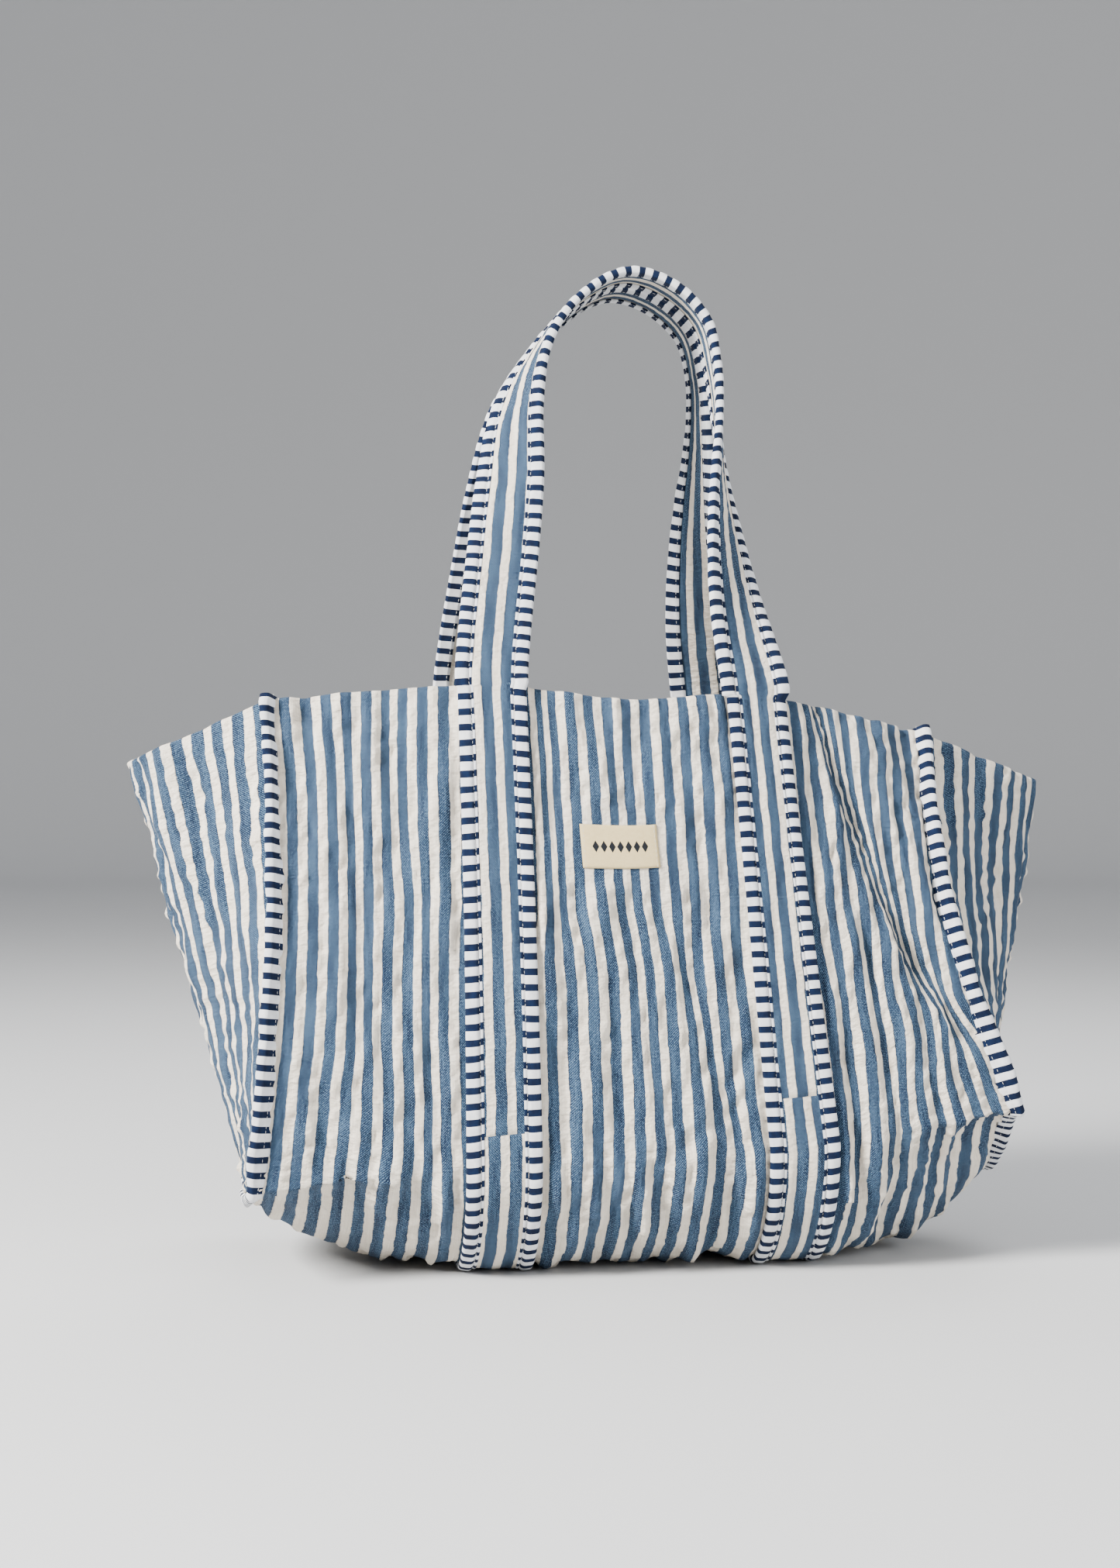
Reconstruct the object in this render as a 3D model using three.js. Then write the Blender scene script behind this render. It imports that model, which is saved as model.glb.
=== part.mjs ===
import * as THREE from 'three';

// Soft quilted carry bag with two sewn-on shoulder straps.
// Millimetres, +Z up, X across the width, the front faces -Y.
// The cloth stands in the gently sagging shape it takes when it hangs by both straps.

// ---------------------------------------------------------------- main sizes
const PANEL_WIDTH = 445;      // front and back panel, side seam to side seam, laid flat
const PANEL_HEIGHT = 290;     // rim to base edge along a side seam
const BASE_DEPTH = 200;       // base and gusset width, front seam to back seam
const SHELL = 3.6;            // quilted cloth with its wadding
const LINING = 0.8;           // plain lining cloth
const GAP = 0.3;              // clearance kept between neighbouring pieces

const STRAP_SPACING = 176;    // centre to centre of the two sewn legs on one panel
const STRAP_WEB_HALF = 18.5;   // half width of the cloth web
const STRAP_WEB = 2.4;        // thickness of the web
const TAPE = 0.8;             // folded binding tape over the strap edges
const TAPE_COVER = 7.2;       // how far the tape laps over the web
const STRAP_STACK = GAP + TAPE + GAP + STRAP_WEB + GAP + TAPE;   // web and both tape folds over the cloth
const STRAP_HALF = STRAP_WEB_HALF + GAP + TAPE + 1.8;            // half width over the bindings

const STRAP_DROP = 256;       // rim to crown of a free handle
const CROWN_GAP = 1.7;        // half the gap between the two crowns

const PIPING_STAND = 8.4;     // how far the bound side seam stands out
const PIPING_THICK = 4.2;
const PIPING_OVERRUN = 3.5;   // tape end standing above the rim

const HEM_DEPTH = 28;         // turned-in band along the rim
const LABEL_WIDTH = 49;
const LABEL_HEIGHT = 25;
const LABEL_THICK = 0.8;
const LABEL_DOWN = 85;        // rim to label centre
const LABEL_ASIDE = -12;      // label centre from the panel's middle
const LABEL_TILT = 2;         // degrees

// ---------------------------------------------------------------- drape of the cloth
const FLOOR = STRAP_STACK;                    // the cloth rests this high, on the straps
const DRAPE_AT = [0, 0.3, 0.5, 0.7, 1];       // left seam, left strap, middle, right strap, right seam
const high = (k) => k * PANEL_HEIGHT, wide = (k) => k * PANEL_WIDTH, deep = (k) => k * BASE_DEPTH;
const RIM_HEIGHT = [1.162, 1.19, 1.162, 1.172, 1.103].map(high);
const RIM_OUT = [0.3, 0.375, 0.4, 0.375, 0.225].map(deep);          // rim ahead of the bag's mid plane
const EDGE_HEIGHT = [0.197, 0.248, 0.259, 0.265, 0.331].map(high);  // where the front turns under into the base
const RIM_SEAM_X = [-0.463, 0.425].map(wide);                       // side seams at the rim
const EDGE_SEAM_X = [-0.481, 0.519].map(wide);                      // side seams at the base corners
const SEAM_PINCH = [0.016, -0.036].map(wide);                       // side seams drawn in at half height
const MIDDLE_SHIFT = [0.025, 0.018].map(wide);                      // middle of the panel shifted, at rim and at base
const END_MIDDLE_X = [-0.485, 0.539].map(wide);                     // middle of the base's two end edges
const END_MIDDLE_HEIGHT = [0.141, 0.172].map(high);
const BELLY_DIP = 12;                                               // slack of the base pressed flat where it rests
const BELLY_RISE = [4, 5.5];                                          // how suddenly the base rises to its ends
const TIP_X = [RIM_SEAM_X[0] - deep(0.41), RIM_SEAM_X[1] + deep(0.44)];   // outermost points of the folded gussets
const TIP_HEIGHT = [1.038, 1].map(high);
const CREASE_ROUND = 0.35;
const BASE_TURN = high(0.097);                                      // cloth taken up by the rounded turn under

// soft folds: start and end (across, down), width, height out of the cloth
const FOLDS = [
  { from: [wide(0.306), 0], to: [wide(0.476), high(0.8)], width: 13, out: -5.5 },
  { from: [wide(0.373), high(-0.034)], to: [wide(0.512), high(0.655)], width: 15, out: 4 },
  { from: [wide(0.063), high(0.241)], to: [wide(0.135), high(0.862)], width: 18, out: -3 },
  { from: [wide(-0.337), high(0.069)], to: [wide(-0.315), high(0.793)], width: 20, out: -2.5 },
];

// ---------------------------------------------------------------- free handles
// centre line of the front handle between the tops of its two legs: across (-1 left leg, 1 right leg),
// back towards the crown (1 at the rim, 0 at the crown), rise (0 rim, 1 crown), turn of the strap about its own line
const HANDLE_LINE = [
  [-0.96, 0.798, 0.149, 5], [-0.878, 0.516, 0.328, 10], [-0.814, 0.318, 0.484, 24],
  [-0.731, 0.12, 0.68, 55], [-0.546, 0.0264, 0.82, 82], [-0.266, 0, 0.926, 90],
  [0.103, 0, 0.988, 90], [0.447, 0, 0.961, 90], [0.702, 0.00376, 0.887, 90],
  [0.804, 0.0358, 0.777, 88], [0.836, 0.139, 0.625, 80], [0.842, 0.328, 0.461, 62],
  [0.863, 0.516, 0.32, 46], [0.906, 0.723, 0.18, 30],
];
const HANDLE_ROWS = 46;

const CENTRE_X = (TIP_X[0] + TIP_X[1]) / 2;      // the gusset tips stand equally far from the origin
const HALF_GIRTH = PANEL_HEIGHT + BASE_DEPTH / 2;
const V = (x, y, z) => new THREE.Vector3(x, y, z);
const mix = (a, b, t) => a + (b - a) * t;

// smooth run through values placed at stations
function along(stations, values, t) {
  let i = 0;
  while (i < stations.length - 2 && t > stations[i + 1]) i++;
  const slope = (k) => {
    const a = Math.max(0, k - 1), b = Math.min(stations.length - 1, k + 1);
    return (values[b] - values[a]) / (stations[b] - stations[a]);
  };
  const span = stations[i + 1] - stations[i];
  const h = (t - stations[i]) / span;
  const h2 = h * h, h3 = h2 * h;
  return values[i] * (2 * h3 - 3 * h2 + 1) + values[i + 1] * (3 * h2 - 2 * h3)
    + slope(i) * span * (h3 - 2 * h2 + h) + slope(i + 1) * span * (h3 - h2);
}

function foldOut(s, g) {
  let out = 0;
  for (const fold of FOLDS) {
    const dx = fold.to[0] - fold.from[0], dy = fold.to[1] - fold.from[1];
    const length = Math.hypot(dx, dy);
    const run = ((s - fold.from[0]) * dx + (g - fold.from[1]) * dy) / length;
    const off = ((s - fold.from[0]) * dy - (g - fold.from[1]) * dx) / length;
    const ends = Math.max(0, Math.min(1, (run + 25) / 50)) * Math.max(0, Math.min(1, (length - run + 25) / 50));
    out += fold.out * ends * Math.exp(-(off * off) / (2 * fold.width * fold.width));
  }
  // no fold lifts the side seams
  const edge = Math.max(0, Math.min(1, (PANEL_WIDTH / 2 - Math.abs(s)) / 22));
  return out * edge;
}

// nothing sinks below zero, with a soft bend of the given reach
const flattened = (d, reach) => (d > reach ? d : d < -reach ? 0 : (d + reach) ** 2 / (4 * reach));

// ---------------------------------------------------------------- the main cloth
// s across from the middle, g down from the front rim, under the base and up to the back rim
function cloth(s, g) {
  if (g > HALF_GIRTH) {
    const p = cloth(s, 2 * HALF_GIRTH - g);
    p.y = -p.y;
    return p;
  }
  const u = s / PANEL_WIDTH + 0.5;
  const side = u < 0.5 ? 0 : 1;
  const toEnd = Math.min(1, Math.abs(2 * u - 1));
  const sharp = THREE.MathUtils.smoothstep(toEnd, 0.5, 0.965);
  const turn = PANEL_HEIGHT - BASE_TURN * (1 - sharp);
  const rimOut = along(DRAPE_AT, RIM_OUT, u);
  const rimZ = along(DRAPE_AT, RIM_HEIGHT, u);
  const edgeZ = along(DRAPE_AT, EDGE_HEIGHT, u);
  const half = BASE_DEPTH / 2;
  const bulge = 4 * u * (1 - u);
  if (g <= turn) {
    const v = g / turn;
    const x = mix(mix(RIM_SEAM_X[0], RIM_SEAM_X[1], u), mix(EDGE_SEAM_X[0], EDGE_SEAM_X[1], u), v)
      + Math.sin(Math.PI * v) * SEAM_PINCH[side] * Math.pow(toEnd, 3)
      + mix(MIDDLE_SHIFT[0], MIDDLE_SHIFT[1], v) * bulge;
    const out = mix(rimOut, half, Math.sin(v * Math.PI / 2)) + foldOut(s, g);
    return V(x, -out, mix(rimZ, edgeZ, v));
  }
  const q = (g - turn) / (HALF_GIRTH - turn);
  const endLow = END_MIDDLE_HEIGHT[side];
  const low = mix(FLOOR - BELLY_DIP, endLow, Math.pow(toEnd, BELLY_RISE[side]));
  const angle = q * Math.PI / 2;
  const under = (1 - (1 - q) * (1 - q)) ** 2;
  const y = -half * mix(Math.cos(angle), 1 - q, sharp);
  const z = edgeZ - (edgeZ - low) * mix(Math.sin(angle), under, sharp);
  const x = mix(EDGE_SEAM_X[0], EDGE_SEAM_X[1], u) + MIDDLE_SHIFT[1] * bulge
    + (END_MIDDLE_X[side] - EDGE_SEAM_X[side]) * under * sharp;
  const fade = foldOut(s, turn) * (1 - q) * (1 - q);
  return V(x, y - fade * Math.cos(angle), FLOOR + flattened(z - FLOOR, 4));
}

// ---------------------------------------------------------------- the gussets
// a across from the middle fold (-front, +back), g down from the rim
function gusset(side, a, g) {
  const edge = (side ? 1 : -1) * PANEL_WIDTH / 2;
  const t = g / PANEL_HEIGHT;
  const m = Math.min(1, Math.abs(a) / (BASE_DEPTH / 2));
  const soft = (Math.sqrt(m * m + CREASE_ROUND ** 2) - CREASE_ROUND) / (Math.sqrt(1 + CREASE_ROUND ** 2) - CREASE_ROUND);
  const fold = (w) => {
    const seam = cloth(edge, w * PANEL_HEIGHT);
    const tip = V(mix(TIP_X[side], END_MIDDLE_X[side], w), 0, mix(TIP_HEIGHT[side], END_MIDDLE_HEIGHT[side], w));
    return V(mix(tip.x, seam.x, soft), seam.y * m, mix(tip.z, seam.z, soft));
  };
  const p = fold(t);
  const bottom = fold(1);
  const baseEdge = cloth(edge, PANEL_HEIGHT + (1 - m) * BASE_DEPTH / 2);
  p.addScaledVector(baseEdge.sub(bottom), Math.pow(t, 4));
  if (a > 0) p.y = -p.y;
  return p;
}

function normalOf(face, a, b, outward) {
  const e = 0.6;
  const da = face(a + e, b).sub(face(a - e, b));
  const db = face(a, b + e).sub(face(a, b - e));
  const n = da.cross(db).normalize();
  return outward(n) ? n : n.negate();
}
const clothOut = (s, g) => normalOf(cloth, s, g, (n) => n.dot(V(0, 0, 0).copy(cloth(s, g)).sub(V(0, 0, 200))) > 0);
const clothNormal = (s, g) => {
  const lo = -PANEL_WIDTH / 2 + 0.7, hi = PANEL_WIDTH / 2 - 0.7;
  const gg = Math.max(0.7, Math.min(2 * HALF_GIRTH - 0.7, g));
  return clothOut(Math.max(lo, Math.min(hi, s)), gg);
};
const gussetNormal = (side) => (a, g) => {
  const half = BASE_DEPTH / 2 - 0.7;
  const aa = Math.max(-half, Math.min(half, a));
  const gg = Math.max(0.7, Math.min(PANEL_HEIGHT - 0.7, g));
  return normalOf((p, q) => gusset(side, p, q), aa, gg, (n) => n.x * (side ? 1 : -1) > 0);
};

// ---------------------------------------------------------------- mesh building
const spread = (from, to, count) => Array.from({ length: count + 1 }, (_, i) => mix(from, to, i / count));

function meshFrom(name, positions, faces, material) {
  let volume = 0;
  for (const [a, b, c] of faces) {
    volume += positions[a].dot(V(0, 0, 0).copy(positions[b]).cross(positions[c]));
  }
  const index = [];
  for (const [a, b, c] of faces) index.push(a, volume > 0 ? b : c, volume > 0 ? c : b);
  const geometry = new THREE.BufferGeometry();
  geometry.setAttribute('position', new THREE.Float32BufferAttribute(positions.flatMap((p) => [p.x - CENTRE_X, p.y, p.z]), 3));
  geometry.setIndex(index);
  geometry.computeVertexNormals();
  const mesh = new THREE.Mesh(geometry, material);
  mesh.name = name;
  return mesh;
}

// closed sheet of even thickness between two offsets of a curved face
function sheet(name, face, normal, across, down, inner, outer, material) {
  const columns = across.length, rows = down.length, layer = columns * rows;
  const positions = [];
  for (const offset of [inner, outer]) {
    for (const b of down) for (const a of across) positions.push(face(a, b).addScaledVector(normal(a, b), offset));
  }
  const faces = [];
  const quad = (p, q, r, s) => faces.push([p, q, r], [p, r, s]);
  const at = (i, j, k) => k * layer + j * columns + i;
  for (let j = 0; j < rows - 1; j++) for (let i = 0; i < columns - 1; i++) {
    quad(at(i, j, 1), at(i + 1, j, 1), at(i + 1, j + 1, 1), at(i, j + 1, 1));
    quad(at(i, j, 0), at(i, j + 1, 0), at(i + 1, j + 1, 0), at(i + 1, j, 0));
  }
  for (let i = 0; i < columns - 1; i++) {
    quad(at(i, 0, 0), at(i + 1, 0, 0), at(i + 1, 0, 1), at(i, 0, 1));
    quad(at(i + 1, rows - 1, 0), at(i, rows - 1, 0), at(i, rows - 1, 1), at(i + 1, rows - 1, 1));
  }
  for (let j = 0; j < rows - 1; j++) {
    quad(at(0, j + 1, 0), at(0, j, 0), at(0, j, 1), at(0, j + 1, 1));
    quad(at(columns - 1, j, 0), at(columns - 1, j + 1, 0), at(columns - 1, j + 1, 1), at(columns - 1, j, 1));
  }
  return meshFrom(name, positions, faces, material);
}

// closed bar: one section carried through rows of ready-placed points
function bar(name, rows, section, material) {
  const n = section.length;
  const positions = rows.flat();
  const faces = [];
  for (let j = 0; j < rows.length - 1; j++) for (let i = 0; i < n; i++) {
    const k = (i + 1) % n;
    const a = j * n + i, b = j * n + k, c = (j + 1) * n + k, d = (j + 1) * n + i;
    if (section[k][0] >= section[i][0]) faces.push([a, b, c], [a, c, d]);
    else faces.push([a, b, d], [b, c, d]);
  }
  const flat = section.map(([a, b]) => new THREE.Vector2(a, b));
  const last = (rows.length - 1) * n;
  for (const [a, b, c] of THREE.ShapeUtils.triangulateShape(flat, [])) {
    const turned = THREE.ShapeUtils.isClockWise(flat) ? [a, b, c] : [a, c, b];
    faces.push(turned, [last + turned[0], last + turned[2], last + turned[1]]);
  }
  return meshFrom(name, positions, faces, material);
}

// folded tape over one strap edge, section as (across, out of the cloth); way = -1 left edge, +1 right edge
function tapeSection(way) {
  const lap = STRAP_WEB_HALF - TAPE_COVER, low = GAP, high = STRAP_STACK;
  const inside = STRAP_WEB_HALF + GAP;
  return [[lap, low], [STRAP_HALF, low], [STRAP_HALF, high], [lap, high], [lap, high - TAPE], [inside, high - TAPE], [inside, low + TAPE], [lap, low + TAPE]]
    .map(([c, o]) => [c * way, o]);
}

// ---------------------------------------------------------------- materials
const cloth1 = new THREE.MeshStandardMaterial({ name: 'striped_quilted_cotton', color: 0xa3aebc, roughness: 0.92, metalness: 0 });
const tape1 = new THREE.MeshStandardMaterial({ name: 'striped_binding_tape', color: 0x8f9bb4, roughness: 0.85, metalness: 0 });
const lining1 = new THREE.MeshStandardMaterial({ name: 'plain_cotton_lining', color: 0xddd6c8, roughness: 0.95, metalness: 0 });
const label1 = new THREE.MeshStandardMaterial({ name: 'woven_label', color: 0xe9e2d2, roughness: 0.8, metalness: 0 });

const root = new THREE.Group();
root.name = 'striped_quilted_tote';

// ---------------------------------------------------------------- outer cloth, lining and rim hem
const edgeIn = SHELL + LINING + 1.1;                 // lining kept clear of the neighbouring layers at the seams
const gussetIn = 1.25 * SHELL + 0.4;       // gusset edge butts against the inside of the panel
const gussetUp = 1.5 * SHELL + 1.1;       // and stops short of the base
const liningUp = gussetUp + 2.1;
const liningOut = -(SHELL + 2 * GAP), liningIn = liningOut - LINING;
const W = PANEL_WIDTH / 2, END = 2 * HALF_GIRTH;
const mid = GAP / 2;

// every layer shares these lines across and down, so that the layers keep their distance
const strapLines = [-STRAP_HALF, -(STRAP_WEB_HALF - TAPE_COVER), 0, STRAP_WEB_HALF - TAPE_COVER, STRAP_HALF].map((c) => STRAP_SPACING / 2 + c);
const innerLines = spread(0, strapLines[0], 3).slice(0, -1);
const outerLines = [...spread(strapLines[4], W - edgeIn, 6).slice(1), W];
const rightLines = [...innerLines, ...strapLines, ...outerLines];
const across = [...rightLines.slice(1).reverse().map((s) => -s), ...rightLines];
const turnStart = PANEL_HEIGHT - BASE_TURN;
const down = [0, ...spread(HEM_DEPTH, turnStart - 14, 6), turnStart, PANEL_HEIGHT - 14,
  ...spread(PANEL_HEIGHT, HALF_GIRTH - mid, 5)];
const backwards = (list) => list.map((g) => END - g);
const liningDown = [HEM_DEPTH + GAP, ...down.slice(2)];
const hemDown = [0.4, HEM_DEPTH];

root.add(sheet('front_panel', cloth, clothNormal, across, down, -SHELL, 0, cloth1));
root.add(sheet('back_panel', cloth, clothNormal, across, backwards(down), -SHELL, 0, cloth1));
const liningAcross = across.slice(1, -1);
root.add(sheet('front_lining', cloth, clothNormal, liningAcross, liningDown, liningIn, liningOut, lining1));
root.add(sheet('back_lining', cloth, clothNormal, liningAcross, backwards(liningDown), liningIn, liningOut, lining1));
root.add(sheet('front_hem', cloth, clothNormal, liningAcross, hemDown, liningIn, liningOut, cloth1));
root.add(sheet('back_hem', cloth, clothNormal, liningAcross, backwards(hemDown), liningIn, liningOut, cloth1));

['left', 'right'].forEach((word, side) => {
  const face = (a, g) => gusset(side, a, g);
  const normal = gussetNormal(side);
  const h = BASE_DEPTH / 2 - gussetIn, hl = BASE_DEPTH / 2 - liningUp;
  const steps = [0.12, 0.26, 0.42, 0.6, 0.8].map((k) => k * h);
  const lines = [-h, -hl, ...steps.map((v) => -v).reverse(), 0, ...steps, hl, h];
  const low = [...spread(HEM_DEPTH, PANEL_HEIGHT - 20, 8).slice(1), PANEL_HEIGHT - liningUp, PANEL_HEIGHT - gussetUp];
  root.add(sheet(`${word}_gusset`, face, normal, lines, [0, HEM_DEPTH, ...low], -SHELL, 0, cloth1));
  root.add(sheet(`${word}_gusset_lining`, face, normal, lines.slice(1, -1), [HEM_DEPTH + GAP, ...low.slice(0, -1)], liningIn, liningOut, lining1));
  root.add(sheet(`${word}_gusset_hem`, face, normal, lines.slice(1, -1), hemDown, liningIn, liningOut, cloth1));
});

// ---------------------------------------------------------------- bound side seams
// each tape runs down the front seam, along the end of the base and up the back seam
const pipingSection = [[0.5, -0.36], [0.5, 0.36], [0.8, 0.5], [0.94, 0.36], [1, 0], [0.94, -0.36], [0.8, -0.5]]
  .map(([a, b]) => [a, b]);
['left', 'right'].forEach((word, side) => {
  const edge = (side ? 1 : -1) * W;
  const stops = [];
  for (const g of [0, 0.5, ...spread(20, PANEL_HEIGHT - 16, 10)]) stops.push(g);
  stops.push(PANEL_HEIGHT - 7, PANEL_HEIGHT, PANEL_HEIGHT + 7, ...spread(PANEL_HEIGHT + 20, HALF_GIRTH, 4));
  const girth = [...stops, ...stops.slice(0, -1).reverse().map((g) => END - g)];
  const outAt = (g) => {
    const front = g <= HALF_GIRTH;
    const down = Math.min(PANEL_HEIGHT, front ? g : END - g);
    const along = Math.max(0, (front ? g : END - g) - PANEL_HEIGHT);
    const a = (front ? -1 : 1) * (BASE_DEPTH / 2 - along);
    return clothNormal(edge, g).add(gussetNormal(side)(a, down)).normalize();
  };
  const smoothOut = (g) => {
    const sum = V(0, 0, 0);
    for (const d of [-12, -6, 0, 6, 12]) sum.add(outAt(Math.max(0, Math.min(END, g + d))));
    return sum.normalize();
  };
  const rows = girth.map((g, i) => {
    const p = cloth(edge, g);
    const before = cloth(edge, Math.max(0, g - 2)), after = cloth(edge, Math.min(END, g + 2));
    const tangent = after.sub(before).normalize();
    const out = smoothOut(g);
    out.addScaledVector(tangent, -out.dot(tangent)).normalize();
    const sideways = V(0, 0, 0).copy(tangent).cross(out);
    if (i === 0) p.addScaledVector(tangent, -PIPING_OVERRUN);
    if (i === girth.length - 1) p.addScaledVector(tangent, PIPING_OVERRUN);
    return pipingSection.map(([a, b]) => V(0, 0, 0).copy(p)
      .addScaledVector(out, (a - 0.5) * 2 * PIPING_STAND + 0.7)
      .addScaledVector(sideways, b * PIPING_THICK));
  });
  root.add(bar(`${word}_seam_binding`, rows, pipingSection, tape1));
});

// ---------------------------------------------------------------- sewn strap legs
['front', 'back'].forEach((face, back) => {
  ['left', 'right'].forEach((word, side) => {
    const s0 = (side ? 1 : -1) * STRAP_SPACING / 2;
    const place = (g) => (back ? END - g : g);
    const stops = down;
    const web = STRAP_WEB_HALF;
    const low = GAP + TAPE + GAP;
    root.add(sheet(`${face}_${word}_leg`, cloth, clothNormal, [s0 - web, s0 - web + TAPE_COVER, s0, s0 + web - TAPE_COVER, s0 + web],
      stops.map(place), low, low + STRAP_WEB, cloth1));
    for (const way of [-1, 1]) {
      const section = tapeSection(way);
      const rows = stops.map((g) => section.map(([c, o]) => cloth(s0 + c, place(g))
        .addScaledVector(clothNormal(s0 + c, place(g)), o)));
      const which = (way < 0) === (side === 0) ? 'outer' : 'inner';
      root.add(bar(`${face}_${word}_leg_${which}_binding`, rows, section, tape1));
    }
  });
});

// ---------------------------------------------------------------- free handles
// rows of frames from the top of the left leg over the crown to the top of the right leg
function handleFrames() {
  const centre = GAP + STRAP_STACK / 2;
  const start = [-1, 1].map((way) => {
    const s0 = way * STRAP_SPACING / 2;
    const normal = clothNormal(s0, 0);
    const down = cloth(s0, 1.5).sub(cloth(s0, 0)).normalize();
    const across = cloth(s0 + 1, 0.2).sub(cloth(s0 - 1, 0.2)).normalize().multiplyScalar(-way);
    const at = cloth(s0, 0).addScaledVector(normal, centre).addScaledVector(down, -2 * GAP);
    return { at, down, width: across, normal, turn: Math.asin(Math.max(-1, Math.min(1, -across.y))) };
  });
  const crownY = -(STRAP_HALF + CROWN_GAP);
  const line = HANDLE_LINE.map(([x, y, z]) => V(mix(start[0].at.x, start[1].at.x, (x + 1) / 2),
    mix(crownY, (start[0].at.y + start[1].at.y) / 2, y), mix(start[0].at.z, start[0].at.z + STRAP_DROP, z)));
  const rise = (end) => {
    const p = V(0, 0, 0).copy(end.at).addScaledVector(end.down, -8);
    return [p, end.turn];
  };
  const points = [start[0].at, rise(start[0])[0], ...line, rise(start[1])[0], start[1].at];
  const turns = [start[0].turn, start[0].turn, ...HANDLE_LINE.map((p) => THREE.MathUtils.degToRad(p[3])), start[1].turn, start[1].turn];
  const curve = new THREE.CatmullRomCurve3(points, false, 'centripetal');
  const frames = [];
  for (let i = 0; i <= HANDLE_ROWS; i++) {
    const k = i / HANDLE_ROWS;
    const t = curve.getUtoTmapping(k);
    const at = curve.getPoint(t);
    const tangent = curve.getTangent(t).normalize();
    if (i === 0) tangent.copy(start[0].down).negate();
    if (i === HANDLE_ROWS) tangent.copy(start[1].down);
    const f = t * (points.length - 1);
    const turn = along(points.map((_, n) => n), turns, f);
    const inward = V(0, 1, 0).cross(tangent).normalize();
    const width = V(0, 0, 0).copy(inward).multiplyScalar(Math.cos(turn))
      .addScaledVector(V(0, 0, 0).copy(tangent).cross(inward), -Math.sin(turn)).normalize();
    const normal = V(0, 0, 0).copy(width).cross(tangent).normalize();
    const joined = i === 0 ? start[0] : i === HANDLE_ROWS ? start[1] : null;
    frames.push(joined ? { at: joined.at, width: joined.width, normal: joined.normal } : { at, width, normal });
  }
  return frames;
}
const frames = handleFrames();
['front', 'back'].forEach((word, back) => {
  const put = (f, c, o) => {
    const p = V(0, 0, 0).copy(f.at).addScaledVector(f.width, c).addScaledVector(f.normal, o - GAP - STRAP_STACK / 2);
    if (back) p.y = -p.y;
    return p;
  };
  const low = GAP + TAPE + GAP;
  const lap = STRAP_WEB_HALF - TAPE_COVER;
  const lines = [-STRAP_WEB_HALF, -lap, lap, STRAP_WEB_HALF];
  const web = [...lines.map((c) => [c, low]), ...lines.reverse().map((c) => [c, low + STRAP_WEB])];
  root.add(bar(`${word}_handle`, frames.map((f) => web.map(([c, o]) => put(f, c, o))), web, cloth1));
  for (const way of [-1, 1]) {
    const section = tapeSection(way);
    root.add(bar(`${word}_handle_${way > 0 ? 'inner' : 'outer'}_binding`, frames.map((f) => section.map(([c, o]) => put(f, c, o))), section, tape1));
  }
});

// ---------------------------------------------------------------- woven label
{
  const tilt = THREE.MathUtils.degToRad(LABEL_TILT);
  const turned = (a, b) => [LABEL_ASIDE + a * Math.cos(tilt) + b * Math.sin(tilt), LABEL_DOWN - a * Math.sin(tilt) + b * Math.cos(tilt)];
  const face = (a, b) => cloth(...turned(a, b));
  const normal = (a, b) => clothNormal(...turned(a, b));
  root.add(sheet('label', face, normal, spread(-LABEL_WIDTH / 2, LABEL_WIDTH / 2, 6), spread(-LABEL_HEIGHT / 2, LABEL_HEIGHT / 2, 3), 2 * GAP, 2 * GAP + LABEL_THICK, label1));
}

export default root;
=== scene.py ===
import math

import bmesh
import bpy
import numpy as np
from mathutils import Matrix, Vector


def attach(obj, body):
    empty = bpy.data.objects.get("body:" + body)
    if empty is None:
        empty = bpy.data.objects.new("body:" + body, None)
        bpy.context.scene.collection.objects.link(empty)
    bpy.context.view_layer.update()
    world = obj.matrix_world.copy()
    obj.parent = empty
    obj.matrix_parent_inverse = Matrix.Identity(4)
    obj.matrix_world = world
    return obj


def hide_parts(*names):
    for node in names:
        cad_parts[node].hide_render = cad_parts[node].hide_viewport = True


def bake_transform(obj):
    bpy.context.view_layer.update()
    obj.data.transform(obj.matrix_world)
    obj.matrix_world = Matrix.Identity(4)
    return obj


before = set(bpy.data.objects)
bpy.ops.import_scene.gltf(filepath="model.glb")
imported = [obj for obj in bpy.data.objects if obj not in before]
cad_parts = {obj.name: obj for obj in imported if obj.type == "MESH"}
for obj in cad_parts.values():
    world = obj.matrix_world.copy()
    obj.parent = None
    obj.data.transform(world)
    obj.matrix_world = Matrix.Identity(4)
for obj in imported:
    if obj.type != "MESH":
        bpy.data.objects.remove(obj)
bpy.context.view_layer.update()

# ---------------------------------------------------------------- Studio
# A camera at standing height a little to the bag's left, a round pale floor
# that curves up far away, and soft window-like light from the upper left.
camera_turn = math.radians(-8)
camera_distance = 1.425
camera_aside = -0.021
camera_height = 0.289

camera_data = bpy.data.cameras.new("camera")
camera_data.sensor_fit = "HORIZONTAL"
camera_data.sensor_width = 36
camera_data.lens = 74.0
camera = bpy.data.objects.new("camera", camera_data)
bpy.context.scene.collection.objects.link(camera)
bpy.context.scene.camera = camera
right_way = Vector((math.cos(camera_turn), math.sin(camera_turn), 0))
into_view = Vector((-math.sin(camera_turn), math.cos(camera_turn), 0))
camera.location = right_way * camera_aside - into_view * camera_distance + Vector((0, 0, camera_height))
camera.rotation_euler = (math.pi / 2, 0, camera_turn)


def new_object(name, data):
    made = bpy.data.objects.new(name, data)
    bpy.context.scene.collection.objects.link(made)
    return made


def mesh_object(name, points, faces):
    mesh = bpy.data.meshes.new(name)
    mesh.from_pydata([tuple(p) for p in points], [], faces)
    mesh.update()
    return new_object(name, mesh)


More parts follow.
